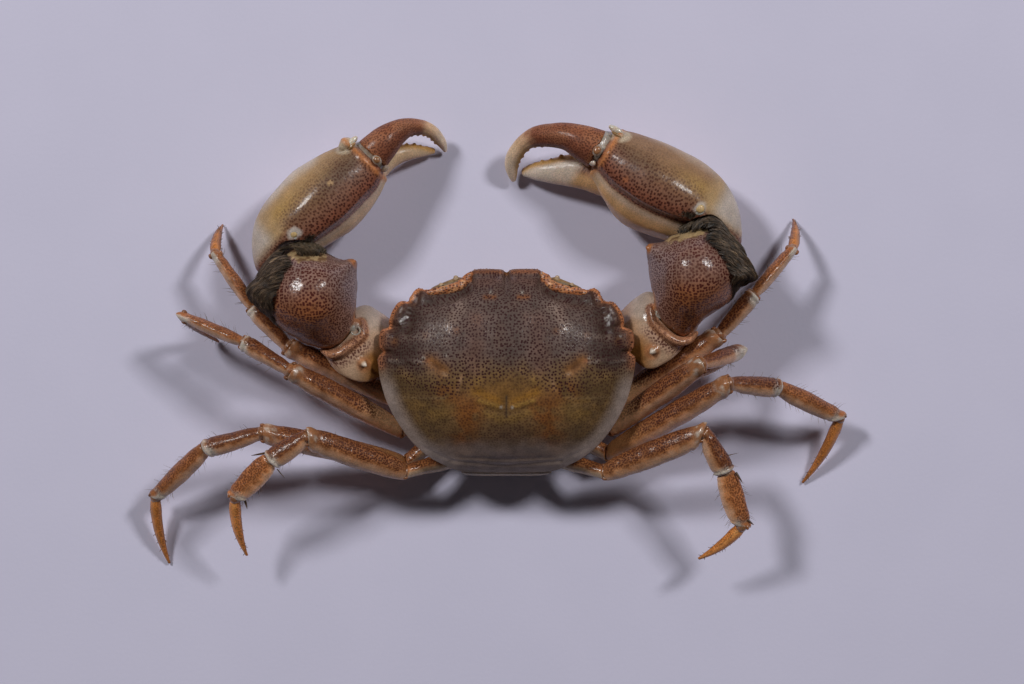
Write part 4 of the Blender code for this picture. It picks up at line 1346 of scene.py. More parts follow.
def make_wrist(side):
    sign = SIDES[side]
    full, hard = np.array(WRIST_OUTLINES[side]), np.array(HARD_WRISTS[side])
    rings = wrist_rings(side, around=48, outline=list(full * FUR_EDGE + hard * (1 - FUR_EDGE)))
    for i, (share, _) in enumerate(WRIST_RINGS[:5]):
        rings[i] += (eased(rings[i], 26) - rings[i]) * ramp(1 - share, -0.02, 0.2)
    root, tip = (np.array(p) for p in WRIST_SPINES[side])
    spine = tube_rings(
        np.column_stack([np.linspace(root, tip, 4), [1.7, 1.35, 1.0, 0.5], [1.6, 1.25, 0.9, 0.5]]),
        20, 12)
    knob = np.array(WRIST_BALLS[side])
    parts = [
        shell_of(skin(rings, 180, 80), (0.05, 0.1)),
        shell_of(spine, (0.1, 0.25)),
        ball(knob + np.array([-0.1 * sign, 0.5, -0.4]), (0.9, 0.8, 0.9), (1, 0, 0)),
    ]
    piece = fused("wrist_shell_" + side, parts, 0.13, 10)
    points, normals = points_of(piece)
    centre = np.array(WRIST_CENTRES[side])
    furry, past = under_fur(side, points)
    x, y = points[:, 0], points[:, 1]
    crust = ramp(past, -0.05, 0.02) * (1 - furry)
    lift = noise(points, 1.8, 51) * 0.05 + noise(points, 0.45, 52) * (0.010 + 0.05 * crust)
    push(piece, lift)
    near_tip = np.linalg.norm(points - tip, axis=1)
    inner = -(x - centre[0]) * sign
    south = centre[1] - y
    tint = blend(np.broadcast_to(np.array([0.245, 0.132, 0.098]), points.shape),
                 np.array([0.330, 0.115, 0.042]), ramp(south + noise(points, 2.0, 53), -1.5, 3.0))
    # Lavender-grey on the inner side and over the top: partly the shell's greyer tone, partly a painted wet sheen
    tint = blend(tint, np.array([0.310, 0.215, 0.195]), ramp(inner, 1.8, 4.6) * 0.6)
    tint = blend(tint, np.array([0.260, 0.175, 0.150]),
                 ramp(-south + noise(points, 1.5, 55), 1.5, 4.0) * ramp(inner, -3.5, -1.0) * 0.45)
    tint = blend(tint, np.array([0.320, 0.120, 0.048]),
                 ramp(-inner + noise(points, 0.8, 54) * 0.6, 2.6, 4.2) * 0.6)
    neck = ramp(-points[:, 2], -10.2, -8.8) * ramp(south + 0.3 * inner, 2.4, 4.2)
    tint = blend(tint, np.array([0.560, 0.215, 0.068]), neck)
    low = ramp(-points[:, 2], -7.6, -6.0)
    tint = blend(tint, CREAM * 0.7, low * (1 - neck * 0.5))
    tint = blend(tint, np.array([0.400, 0.150, 0.055]), ramp(-near_tip, -1.1, -0.5))
    tint = blend(tint, WHITE, ramp(-np.linalg.norm(points - knob, axis=1), -1.0, -0.5) * 0.8)
    strip = ramp(bare_strip(side, x, y, 0.6) + noise(points, 0.5, 56) * 0.35, 0.3, 0.6)
    strip = strip * ramp(points[:, 2], 9.0, 10.0)
    tan = blend(np.broadcast_to(np.array([0.480, 0.330, 0.160]), points.shape),
                np.array([0.170, 0.090, 0.035]), ramp(noise(points, 0.45, 58), -0.1, 0.5))
    tint = blend(tint, tan, strip * 0.9)
    tint = blend(tint, np.array([0.040, 0.026, 0.015]), furry * (1 - strip * 0.9))
    spotted = (1 - neck * 0.95) * (1 - low) * (1 - ramp(-near_tip, -1.1, -0.5))
    spotted = spotted * (1 - furry) * (1 - strip * 0.9)
    chart = dome_chart(points, normals, centre, 15.3)
    colour(piece, tint, spotted, furry * 0.6, 0.4 + 0.6 * crust, chart, 0.75 * (1 - furry * 0.8))
    place(piece, MATERIALS["wrist"], "spotted_claw_shell", "claw_wrist_" + side)


# Edge where the fur pad leaves the hard shell and its outer edge, as places in the outlines
def under_fur(side, points):
    """How far each point of the wrist lies under the fur, from 0 to 1, and how far past its edge."""
    centre = np.array(WRIST_CENTRES[side])
    full = polar(WRIST_OUTLINES[side], centre, points)
    hard = polar(HARD_WRISTS[side], centre, points)
    reach = np.hypot(points[..., 0] - centre[0], points[..., 1] - centre[1])
    past = reach / full - hard / full * 0.985 + noise(points, 0.5, 57) * 0.015
    past = np.where(points[..., 2] < 8.0, np.maximum(past, 0.3), past)
    return ramp(past, 0.0, 0.05) * ramp(1 - hard / full, 0.012, 0.05), past


def fur_path(side, angle, level):
    """Places on the wrist's form by direction and by level, 0 at its crown and 5 at its widest."""
    centre = np.array(WRIST_CENTRES[side])
    towards = np.stack([np.cos(angle), np.sin(angle)], axis=-1)
    full = polar(WRIST_OUTLINES[side], centre, centre + towards)
    share = np.interp(level, np.arange(9), [row[0] for row in WRIST_RINGS])
    height = np.interp(level, np.arange(9), [row[1] for row in WRIST_RINGS])
    flat = towards * (full * share)[..., None]
    lift = WRIST_LIFT * np.maximum(flat[..., 0] * SIDES[side], 0) * (1 - ramp(height, 11.0, 15.5))
    return np.concatenate([centre + flat, (height + lift)[..., None]], axis=-1)


# Directions of the fur's two ends seen from the middle of the wrist, and the way the hairs lie
FUR_ANGLES = {"left": (1.25, 3.95), "right": (1.95, -0.95)}

FUR_COMB = {"left": ((-0.90, -0.36), (-0.66, -0.75)), "right": ((0.86, -0.46), (0.60, -0.80))}




FUR_TUFTS = 470

FUR_HAIRS = 14

# Middle of the dark tuft beside the palm's joint, on the palm
HEEL_TUFTS = {"left": (-23.4, 15.9, 10.0), "right": (21.5, 18.6, 10.7)}

def make_fur(side):
    """A matted pad of hairs in clumps, combed outwards and back over the flank of the wrist."""
    centre = np.array(WRIST_CENTRES[side])
    first, last = FUR_ANGLES[side]
    shares = np.array([row[0] for row in WRIST_RINGS])
    heights = np.array([row[1] for row in WRIST_RINGS])
    place_on = random.random(FUR_TUFTS)
    tuft_angle = first + (last - first) * place_on
    towards = np.stack([np.cos(tuft_angle), np.sin(tuft_angle)], axis=-1)
    full = polar(WRIST_OUTLINES[side], centre, centre + towards)
    hard = polar(HARD_WRISTS[side], centre, centre + towards)
    begin = np.interp(hard / full, shares[:6], np.arange(6.0))
    tuft_level = begin - 0.12 + (5.6 - begin) * random.random(FUR_TUFTS) ** 1.25
    roots = fur_path(side, tuft_angle, tuft_level)
    crust = ramp(roots[:, 1] - BARE_STRIPS[side][1][1] + abs(roots[:, 0] - BARE_STRIPS[side][1][0]) * 0.1, 0.2, 0.6)
    crust = crust * ramp(2.2 - abs(roots[:, 0] - BARE_STRIPS[side][1][0] + SIDES[side] * 1.6), 0.0, 0.6)
    bare = bare_strip(side, roots[:, 0], roots[:, 1], 0.5) * (roots[:, 2] > 10.5)
    keep = (hard / full < 0.985) & (bare < random.uniform(0.1, 0.6, FUR_TUFTS))
    tuft_angle, tuft_level, begin = tuft_angle[keep], tuft_level[keep], begin[keep]
    place_on, crust = place_on[keep], crust[keep]
    count = len(tuft_angle)
    which = np.repeat(np.arange(count), FUR_HAIRS)
    hairs = len(which)
    steps = 6
    rows = np.linspace(0, 1, steps)
    top_comb, low_comb = (np.array(comb) for comb in FUR_COMB[side])
    comb = top_comb + (low_comb - top_comb) * place_on[:, None]
    turn = random.normal(0, 0.13, count)[which] + random.normal(0, 0.09, hairs)
    turn = turn + crust[which] * random.normal(0, 0.9, hairs)
    comb = comb[which]
    comb = np.stack([comb[:, 0] * np.cos(turn) - comb[:, 1] * np.sin(turn),
                     comb[:, 0] * np.sin(turn) + comb[:, 1] * np.cos(turn)], axis=-1)
    spread = random.uniform(-1, 1, hairs)
    radius = polar(WRIST_OUTLINES[side], centre, centre + np.stack([np.cos(tuft_angle), np.sin(tuft_angle)], -1))[which]
    angle = tuft_angle[which] + spread * 0.36 / radius
    level = np.maximum(tuft_level[which] + random.normal(0, 0.16, hairs), begin[which] - 0.3)
    length = random.uniform(1.3, 2.9, count)[which] * random.uniform(0.75, 1.15, hairs)
    length = length * (1 - 0.7 * crust[which])
    paths = []
    for step in range(steps):
        paths.append(fur_path(side, angle, level))
        out = np.stack([np.cos(angle), np.sin(angle)], axis=-1)
        across = np.stack([-np.sin(angle), np.cos(angle)], axis=-1)
        reach = polar(WRIST_OUTLINES[side], centre, centre + out)
        share_run = np.interp(level + 0.2, np.arange(9), shares) - np.interp(level - 0.2, np.arange(9), shares)
        fall = np.interp(level + 0.2, np.arange(9), heights) - np.interp(level - 0.2, np.arange(9), heights)
        per_level = np.hypot(share_run * reach, fall) / 0.4 + 0.3
        radial = np.maximum((comb * out).sum(axis=1), 0.22)
        sideways = (comb * across).sum(axis=1) * (1 - 0.35 * ramp(level, 4.5, 5.5))
        move = length / (steps - 1)
        gather = -spread * 0.36 * 0.5 / (steps - 1)
        angle = angle + (sideways * move + gather) / np.maximum(reach * 0.95, 1)
        level = np.minimum(level + radial * move / per_level, 6.3)
    paths = np.stack(paths, axis=1)
    over = bare_strip(side, paths[..., 0], paths[..., 1], 0.55).max(axis=1)
    clear = over < random.uniform(0.25, 0.75, hairs)
    paths, which, spread = paths[clear], which[clear], spread[clear]
    hairs = len(which)
    outward = unit(paths - np.array([*centre, 8.6]))
    plump = random.uniform(-0.22, 0.02, count)[which] + 0.07 * (1 - spread**2)
    lifted = -0.50 + (plump[:, None] + 0.55) * np.sin(rows * math.pi * 0.62) + random.normal(0, 0.09, hairs)[:, None]
    lifted = lifted + random.uniform(-0.12, 0.16, count)[which][:, None] * rows**3
    paths = paths + outward * np.minimum(lifted, 0.20)[..., None]
    heel = np.array(HEEL_TUFTS[side])
    few = 170
    base = heel + random.normal(0, 1, (few, 3)) * np.array([0.36, 0.24, 0.05])
    ends = base + random.normal(0, 1, (few, 3)) * np.array([0.32, 0.26, 0.12]) + UP * random.uniform(0.25, 0.6, few)[:, None]
    wisps = base[:, None] * (1 - rows[:, None]) + ends[:, None] * rows[:, None]
    paths = np.concatenate([paths, wisps])
    total = hairs + few
    radii = random.uniform(0.030, 0.068, total)
    points, faces = strands(paths, radii)
    piece = make_mesh("wrist_fur_" + side, points, faces)
    shade = random.uniform(0.6, 1.2, count)[which] * random.uniform(0.2, 2.2, hairs)
    warm = np.clip(random.normal(0.03, 0.10, count)[which] + random.normal(0.02, 0.14, hairs), 0, 1)
    paint = blend(np.broadcast_to(np.array([0.056, 0.032, 0.018]), (hairs, 3)),
                  np.array([0.330, 0.220, 0.120]), warm) * shade[:, None]
    paint = blend(paint, np.array([0.075, 0.050, 0.020]), crust[which] * 0.5)
    paint = np.concatenate([paint, np.array([0.050, 0.032, 0.018]) * random.uniform(0.4, 1.6, few)[:, None]])
    paint = np.repeat(paint, steps * 3, axis=0)
    along = np.tile(np.repeat(rows, 3), total)
    paint = paint * (0.5 + 0.7 * ramp(along, 0.0, 0.7))[:, None]
    colour(piece, paint, 0.0, 0.0, 0.5)
    place(piece, MATERIALS["fur"], "spotted_claw_shell")


def palm_frame(side):
    heel, hinge = (np.array([x, y, 0.0]) for x, y in PALM_AXES[side])
    along = unit(hinge - heel)
    outward = np.cross(along, UP) * SIDES[side]
    return heel, along, outward


def palm_rings(side):
    """Cross-sections of the palm, flat outside and bulged inside."""
    heel, along, outward = palm_frame(side)
    rings = []
    for distance, outer, inner, ridge, low, high in PALM_STATIONS[side]:
        height = high - low
        corners = [
            (outer, low + 0.46 * height),
            (outer * 0.86, low + 0.76 * height),
            (outer * 0.3 + ridge * 0.1, high),
            (ridge * 0.75, low + 0.93 * height),
            (ridge, low + RIDGE_SHARE * height),
            (inner, low + BULGE_SHARE * height),
            (inner * 0.7, low + 0.1 * height),
            (outer * 0.2, low),
            (outer * 0.8, low + 0.16 * height),
        ]
        corners = np.array(corners)
        rings.append(
            heel + along * distance + np.outer(corners[:, 0], outward) + np.outer(corners[:, 1], UP)
        )
    return np.array(rings)


# Teeth along the cutting edge of the fixed finger: place on its middle line and size
TEETH = ((0.24, 0.42), (0.36, 0.34), (0.47, 0.44), (0.58, 0.30), (0.68, 0.34), (0.78, 0.22), (0.87, 0.18))


def cutting_edge(stations, share, front, top):
    """A point on the skin of a finger, on its side that faces the other finger."""
    fine = spline(stations, 101, False)
    i = int(share * 100)
    _, side, upward = frames(fine[:, :3])
    across = side[i] if side[i][1] > 0 else -side[i]
    return fine[i, :3] + across * fine[i, 3] / 2 * front + upward[i] * fine[i, 4] / 2 * top


def make_palm(side):
    heel, along, outward = palm_frame(side)
    palm = shell_of(skin(palm_rings(side), 140, 120), (0.1, 0.25))
    finger = shell_of(tube_rings(FIXED_FINGERS[side], 48, 80), (0.2, 0.12))
    parts = [palm, finger]
    for share, size in TEETH:
        where = cutting_edge(FIXED_FINGERS[side], share, 0.86, 0.5)
        parts.append(ball(where, (size, size * 0.75, size * 0.7), (0.0, 1.0, 0.35)))
    outer = heel + along * 14.0 + outward * 3.1 + UP * 8.2
    parts.append(ball(outer, (1.0, 0.7, 0.8), along))
    socket = shell_of(skin(wrist_rings(side, GAP + 0.05), 96, 40), (0.1, 0.1))
    piece = fused("palm_shell_" + side, parts, 0.14, 6, socket)
    points, normals = points_of(piece)
    offset = points - heel
    u, v, z = offset @ along, offset @ outward, points[:, 2]
    stations = np.array(PALM_STATIONS[side])
    ridge, low, high = (np.interp(u, stations[:, 0], stations[:, i]) for i in (3, 4, 5))
    level = (z - low) / (high - low)
    on_palm = ramp(15.2 - u, 0.0, 1.2) * ramp(u, 0.0, 2.0)
    inner_side = ramp(-normals @ outward, 0.0, 0.5)
    fill = hill(level, 0.58, 0.13) * inner_side * on_palm
    end_lip = hill(u, 14.2, 0.35) * ramp(level, 0.35, 0.6)
    push(piece, end_lip * 0.14 + fill * (1.05 if side == "right" else 0.60)
         + noise(points, 2.2, 71) * 0.06 + noise(points, 0.5, 72) * 0.012)
    points, normals = points_of(piece)
    wander = noise(points, 1.6, 73) * 0.7
    inward = ridge - v
    right = side == "right"
    outer_tone = np.array([0.300, 0.168, 0.088]) if right else np.array([0.430, 0.262, 0.120])
    tint = np.broadcast_to(outer_tone, points.shape)
    tint = blend(tint, np.array([0.222, 0.116, 0.058]), ramp(wander - v, -3.6, -1.0))
    tint = blend(tint, np.array([0.140, 0.090, 0.062]), ramp(u, 7.0, 10.0) * hill(v, 0.2, 2.4) * 0.85)
    tint = blend(tint, np.array([0.275, 0.125, 0.078]), ramp(inward + wander * 0.5, -4.2, -1.8) * 0.85)
    tint = blend(tint, np.array([0.265, 0.084, 0.046]), ramp(inward + wander * 0.3, -2.3, -0.7) * 0.85)
    heel_side = ramp(2.8 - u, 0.0, 2.0) * ramp(v, 0.3, 1.4)
    rim = 4.5 if right else 3.7
    edge = ramp(v + wander * 0.4, rim, rim + 1.5) * ramp(12.5 - u, 0.0, 3.0)
    pale_edge = np.array([0.540, 0.400, 0.290]) if right else np.array([0.620, 0.520, 0.440])
    tint = blend(tint, pale_edge, edge * 0.85)
    tint = blend(tint, np.array([0.450, 0.270, 0.075]), hill(u, 2.5, 3.2) * hill(v, 3.0, 1.1) * 0.6)
    tint = blend(tint, np.array([0.480, 0.310, 0.150]), heel_side * 0.9)
    tint = blend(tint, np.array([0.620, 0.540, 0.480]), ramp(1.0 - u, 0.0, 2.0) * ramp(v, 0.2, 2.0) * 0.8)
    knuckle = np.linalg.norm(points - outer, axis=1)
    tint = blend(tint, np.array([0.560, 0.450, 0.320]), ramp(-knuckle, -1.7, -1.1) * 0.9)
    below = ramp(0.75 - level, 0.0, 0.05) * inner_side + ramp(0.45 - level, 0.0, 0.2)
    below = np.clip(below, 0, 1)
    bulge = np.array([0.640, 0.370, 0.180]) if right else np.array([0.760, 0.530, 0.370])
    bulge = blend(np.broadcast_to(bulge, points.shape), CREAM * 1.15, ramp(noise(points, 2.0, 75), -0.1, 0.8) * 0.7)
    bulge = blend(bulge, np.array([0.620, 0.500, 0.430]), ramp(0.30 - level, 0.0, 0.2) * 0.7)
    tint = blend(tint, bulge, below)
    line = hill(level, 0.69, 0.035) * inner_side * on_palm
    tint = blend(tint, np.array([0.620, 0.480, 0.400]), line * 0.6)
    warm = below * hill(u, 6.5, 4.0) * hill(level, 0.46, 0.14)
    tint = blend(tint, np.array([0.480, 0.215, 0.065]), warm * (0.65 if right else 0.4))
    tint = blend(tint, np.array([0.560, 0.210, 0.070]), hill(u, 14.25, 0.36) * ramp(level, 0.5, 0.7) * 0.85)
    tip = ramp(u, 15.4, 17.0)
    tint = blend(tint, np.array([0.780, 0.640, 0.520]) if right else np.array([0.760, 0.540, 0.340]), tip)
    teeth = np.zeros(len(points))
    for share in np.linspace(0.1, 0.98, 26):
        where = cutting_edge(FIXED_FINGERS[side], share, 0.85, 0.5)
        teeth = np.maximum(teeth, ramp(-np.linalg.norm(points - where, axis=1), -1.0, -0.3))
    tint = blend(tint, np.array([0.560, 0.280, 0.050]), teeth * 0.9)
    tint = blend(tint, np.array([0.520, 0.240, 0.110]), hill(u, 17.0, 1.2) * ramp(0.4 - level, 0.0, 0.3) * 0.4)
    far = np.linalg.norm(points - np.array(PALM_BALLS[side]), axis=1)
    halo = ramp(noise(points, 0.7, 74) * 0.3 - far, -1.05, -0.5)
    tint = blend(tint, np.array([0.600, 0.530, 0.470]), halo * 0.8)
    ring_spot = np.array([-20.7, 22.2, 10.9]) if not right else np.array([14.0, 22.6, 11.0])
    spot_far = np.linalg.norm((points - ring_spot)[:, :2], axis=1)
    tint = blend(tint, np.array([0.480, 0.300, 0.150]) if not right else np.array([0.400, 0.140, 0.060]),
                 ramp(-spot_far, -0.5, -0.25) * 0.8)
    spotted = ramp(wander - v, -rim - 0.6, -0.8) * (1 - below) * (1 - tip) * (1 - halo) * (1 - heel_side)
    spotted = spotted * (1 - 0.8 * hill(u, 14.4, 0.4)) * (0.75 + 0.25 * ramp(inward, -3.0, -1.0))
    dry = ramp(v, 3.0, 5.0) * 0.2
    chart = np.column_stack([u, np.arctan2(v - 1.2, z - 5.6) * 4.8])
    patch = stroke(u, v, (5.0, -1.0), (10.0, -1.9), 2.0)
    wet = 0.30 + patch * (0.90 + 0.3 * noise(points, 0.5, 76))
    colour(piece, tint, spotted, dry, 0.35, chart, wet)
    place(piece, MATERIALS["palm"], "pale_claw_shell", "claw_palm_" + side)


def make_finger(side):
    """The moving finger, red-brown and spotted, with a pale tip and a toothed inner edge."""
    stations = MOVING_FINGERS[side]
    parts = [shell_of(tube_rings(stations, 48, 110), (0.35, 0.06))]
    fine = spline(stations, 161, False)
    ahead, side_way, upward = frames(fine[:, :3])
    facing = 1 if side == "left" else -1
    for share in (0.42, 0.50, 0.59, 0.67, 0.75, 0.82):
        i = int(share * 160)
        where = fine[i, :3] + side_way[i] * facing * fine[i, 3] / 2 * 0.86
        where = where - upward[i] * fine[i, 4] * 0.15
        parts.append(ball(where, (0.26, 0.3, 0.24), ahead[i], 14, 8))
    piece = fused("finger_shell_" + side, parts, 0.11, 3)
    points, normals = points_of(piece)
    gaps = np.linalg.norm(points[:, None] - fine[None, :, :3], axis=2)
    nearest = gaps.argmin(axis=1)
    share = nearest / 160
    offset = points - fine[nearest, :3]
    across = np.einsum("ij,ij->i", offset, side_way[nearest]) / (fine[nearest, 3] / 2) * facing
    rise = np.einsum("ij,ij->i", offset, upward[nearest]) / (fine[nearest, 4] / 2)
    groove = (hill(across, 0.45, 0.12) + hill(across, -0.45, 0.12)) * ramp(rise, 0.2, 0.5)
    push(piece, noise(points, 1.2, 81) * 0.03 - groove * 0.05 * ramp(share, 0.1, 0.3))
    tint = blend(np.broadcast_to(np.array([0.270, 0.090, 0.042]), points.shape),
                 np.array([0.360, 0.140, 0.065]), ramp(noise(points, 1.5, 82) + rise * 0.3, -0.2, 0.8))
    tint = blend(tint, np.array([0.170, 0.050, 0.028]), ramp(across, -0.2, 0.7) * 0.6)
    switch = 0.51 if side == "left" else 0.49
    pale = ramp(share + noise(points, 0.9, 83) * 0.04, switch - 0.07, switch + 0.10)
    tint = blend(tint, np.array([0.800, 0.530, 0.320]), pale)
    tint = blend(tint, np.array([0.850, 0.700, 0.550]), pale * ramp(share, switch + 0.05, switch + 0.3) * 0.7)
    tint = blend(tint, np.array([0.450, 0.250, 0.080]), ramp(across, 0.3, 0.8) * ramp(share, 0.45, 0.6) * 0.8)
    tint = blend(tint, CREAM * 0.9, ramp(-rise, 0.1, 0.7) * 0.7)
    tint = blend(tint, ORANGE * 1.1, ramp(-share, -0.06, -0.0) * 0.5)
    spotted = (1 - pale) * ramp(rise, -0.3, 0.2) * ramp(-share, -0.56, -0.36)
    length = np.linalg.norm(np.diff(fine[:, :3], axis=0), axis=1).sum()
    chart = np.column_stack([share * length, np.arctan2(across, rise) * 1.6]) * 1.6
    colour(piece, tint, spotted * 0.8, 0.35, 0.35, chart, 0.25)
    place(piece, MATERIALS["palm"], "finger_shell", "claw_finger_" + side)


# Knobs of the finger's hinge in the palm's own directions: along, outward, height, radii and colour
HINGE_KNOBS = {
    "left": (
        (15.25, -0.95, 9.45, (0.50, 0.66, 0.30), (0.400, 0.310, 0.240)),
        (15.28, -0.95, 9.72, (0.38, 0.44, 0.24), (0.300, 0.140, 0.060)),
        (14.70, 2.75, 8.55, (0.95, 0.42, 0.40), (0.600, 0.520, 0.420)),
        (14.40, 2.35, 8.95, (0.60, 0.20, 0.18), (0.300, 0.170, 0.070)),
        (15.25, -2.25, 8.10, (0.50, 0.35, 0.40), (0.480, 0.360, 0.270)),
    ),
    "right": (
        (15.40, 0.25, 9.70, (0.52, 0.72, 0.32), (0.400, 0.310, 0.240)),
        (15.45, 0.25, 9.98, (0.42, 0.52, 0.26), (0.360, 0.160, 0.070)),
        (14.80, 3.55, 8.60, (1.05, 0.42, 0.42), (0.600, 0.520, 0.420)),
        (14.50, 3.10, 9.00, (0.70, 0.20, 0.20), (0.300, 0.170, 0.070)),
        (15.15, -1.20, 8.45, (0.50, 0.38, 0.42), (0.500, 0.400, 0.330)),
    ),
}

def make_hinge(side):
    """Skin and knobs of the joints on both ends of the palm."""
    heel, along, outward = palm_frame(side)
    first = MOVING_FINGERS[side][0]
    fine = spline(palm_rings(side), 200, False)
    palm_end = spline(fine[-4], 40, True)
    middle = palm_end.mean(axis=0)
    palm_end = middle + (palm_end - middle) * 0.86
    centre = np.array(first[:3])
    _, side_way, upward = frames(spline(MOVING_FINGERS[side], 60, False)[:, :3])
    turn = np.arctan2((palm_end - middle) @ UP, (palm_end - middle) @ outward)
    sign = 1.0 if np.dot(side_way[0], outward) > 0 else -1.0
    finger_end = (
        centre
        + np.outer(np.cos(turn) * sign * first[3] * 0.45, side_way[0])
        + np.outer(np.sin(turn) * first[4] * 0.45, upward[0])
        + along * 0.35
    )
    rings = np.array([palm_end * (1 - t) + finger_end * t for t in np.linspace(0, 1, 10)])
    swell = np.sin(np.linspace(0, math.pi, 10))[:, None, None] * 0.05
    rings = rings + (rings - rings.mean(axis=1, keepdims=True)) * swell
    web = shell_of(skin(rings, 90, 40), (0.1, 0.1))
    web = (web[0] + noise(web[0], 0.5, 92)[:, None] * np.array([0.05, 0.05, 0.10]), web[1])
    parts, tints = [web], []
    folds = ramp(noise(web[0], 0.5, 91), -0.3, 0.6)
    skin_tone = blend(np.broadcast_to(np.array([0.380, 0.320, 0.270]), web[0].shape),
                      np.array([0.230, 0.150, 0.095]), folds * 0.8)
    tints.append(skin_tone)
    for u, v, z, radii, paint in HINGE_KNOBS[side]:
        solid = ball(heel + along * u + outward * v + UP * z, radii, along)
        parts.append(solid)
        tints.append(np.broadcast_to(np.array(paint), solid[0].shape))
    knob = np.array(PALM_BALLS[side])
    for radii, shift, paint in (
        ((0.62, 0.56, 0.30), (0, 0, -0.08), np.array([0.620, 0.400, 0.190])),
        ((0.78, 0.62, 0.24), (-0.18 * SIDES[side], -0.14, -0.20), WHITE * 0.8),
    ):
        solid = ball(knob + np.array(shift), radii, along)
        parts.append(solid)
        tints.append(np.broadcast_to(paint, solid[0].shape))
    piece = make_mesh("palm_joint_skin_" + side, *joined(*parts))
    colour(piece, np.concatenate(tints), 0.0, 0.0, 0.8)
    place(piece, MATERIALS["skin"], "pale_claw_shell")


def arm_rings(side):
    """Three-edged sections of the arm, which flares out to the wrist's socket."""
    sign = SIDES[side]
    rings = []
    for x, middle, half, low, high in ARM_STATIONS[side]:
        height = high - low
        corners = [
            (middle - half, low + 0.86 * height),
            (middle - 0.2 * half, high),
            (middle + 0.55 * half, low + 0.93 * height),
            (middle + half, low + 0.6 * height),
            (middle + 0.8 * half, low + 0.22 * height),
            (middle + 0.25 * half, low),
            (middle - 0.1 * half, low + 0.28 * height),
            (middle - 0.5 * half, low + 0.64 * height),
        ]
        rings.append([(sign * x, y, z) for y, z in corners])
    return np.array(rings)


# Raised rim of the arm round the wrist's socket, and the small spine behind it
SOCKET_RIMS = {
    "left": [
        (-17.15, 5.9, 8.9),
        (-16.95, 4.4, 9.1),
        (-17.9, 3.4, 9.3),
        (-18.7, 2.85, 9.5),
        (-19.6, 2.2, 9.5),
        (-20.8, 1.95, 9.2),
        (-21.8, 2.5, 8.6),
    ],
    "right": [
        (17.0, 7.6, 8.9),
        (17.3, 6.0, 9.2),
        (18.1, 5.0, 9.4),
        (19.1, 4.1, 9.5),
        (20.3, 3.5, 9.4),
        (21.6, 3.7, 9.0),
        (22.5, 4.6, 8.4),
    ],
}
ARM_SPINES = {
    "left": ((-17.2, 1.25, 9.0), (-16.55, 0.65, 9.7)),
    "right": ((17.55, 2.6, 9.0), (17.0, 2.2, 9.7)),
}


def make_arm(side):
    sign = SIDES[side]
    body = shell_of(skin(arm_rings(side), 120, 90), (0.15, 0.3))
    rim_line = np.array(SOCKET_RIMS[side])
    sizes = np.array([0.5, 0.9, 1.0, 1.05, 1.05, 0.9, 0.5])
    rim = shell_of(tube_rings(np.column_stack([rim_line, sizes, sizes * 1.2]), 20, 60), (0.2, 0.2))
    root, tip = (np.array(p) for p in ARM_SPINES[side])
    spine_line = np.linspace(root, tip, 4)
    spine = shell_of(
        tube_rings(np.column_stack([spine_line, [1.3, 0.95, 0.6, 0.3], [1.3, 0.95, 0.6, 0.3]]), 16, 12),
        (0.1, 0.1),
    )
    socket = shell_of(skin(wrist_rings(side, GAP * 0.4), 96, 40), (0.1, 0.1))
    piece = fused("arm_shell_" + side, [body, rim, spine], 0.13, 5, socket)
    points, normals = points_of(piece)
    push(piece, noise(points, 1.8, 101) * 0.05 + noise(points, 0.4, 102) * 0.012)
    x, y, z = points[:, 0] * sign, points[:, 1], points[:, 2]
    stations = np.array(ARM_STATIONS[side])
    middle, low = (np.interp(x, stations[:, 0], stations[:, i]) for i in (1, 3))
    tint = np.broadcast_to(np.array([0.520, 0.340, 0.220]), points.shape)
    tint = blend(tint, np.array([0.560, 0.450, 0.370]),
                 ramp(y - middle + noise(points, 1.5, 103) * 0.5, 0.8, 2.4) * 0.8)
    amber = ramp(middle - y + noise(points, 1.2, 104) * 0.7, -0.8, 1.8)
    honey = np.array([0.330, 0.130, 0.022])
    tint = blend(tint, honey, amber * ramp(-x, -18.4, -15.6) * 0.95)
    tint = blend(tint, honey, ramp(-x, -15.6, -13.8) * 0.75)
    fine = spline(rim_line, 60, False)
    far = np.linalg.norm(points[:, None] - fine[None], axis=2).min(axis=1)
    band = ramp(-far, -0.95, -0.5)
    beyond = ramp(-far, -2.3, -1.0) * (1 - band) * ramp(middle - y, -1.0, 0.5)
    tint = blend(tint, np.array([0.480, 0.290, 0.200]), beyond * 0.8)
    tint = blend(tint, np.array([0.500, 0.220, 0.110]), band * 0.9)
    spine_far = np.linalg.norm(points - tip, axis=1)
    tint = blend(tint, WHITE, ramp(-spine_far, -0.8, -0.3) * 0.7)
    tint = blend(tint, ORANGE * 1.2, ramp(-spine_far, -1.5, -0.9) * ramp(spine_far, 0.5, 0.9) * 0.7)
    spotted = np.clip(band * 0.8 + beyond * 0.9, 0, 1) * ramp(z - low, 3.0, 5.0)
    chart = dome_chart(points, normals, np.array(WRIST_CENTRES[side]), 15.3)
    colour(piece, tint, spotted, 0.05, 0.35, chart)
    place(piece, MATERIALS["wrist"], "pale_claw_shell", "claw_arm_" + side)
    knob = np.array(WRIST_BALLS[side])
    turns = np.linspace(-0.9, 2.6, 9)
    curl = [knob + np.array([-0.55 * sign * math.cos(a), -0.5 * math.sin(a) - 0.1, 0.3]) for a in turns]
    curl = np.column_stack([curl, np.full(9, 0.26), np.full(9, 0.4)])
    curl = shell_of(tube_rings(curl, 12, 40), (0.1, 0.1))
    pad = ball(knob + np.array([sign * 0.35, 0.25, 0.15]), (0.55, 0.5, 0.35), (1, 0.5, 0))
    white = make_mesh("wrist_joint_skin_" + side, *joined(curl, pad))
    points, _ = points_of(white)
    colour(white, blend(np.broadcast_to(WHITE, points.shape), BONE, 0.5), 0.0, 0.0, 0.5)
    place(white, MATERIALS["skin"], "pale_claw_shell")


# Legs

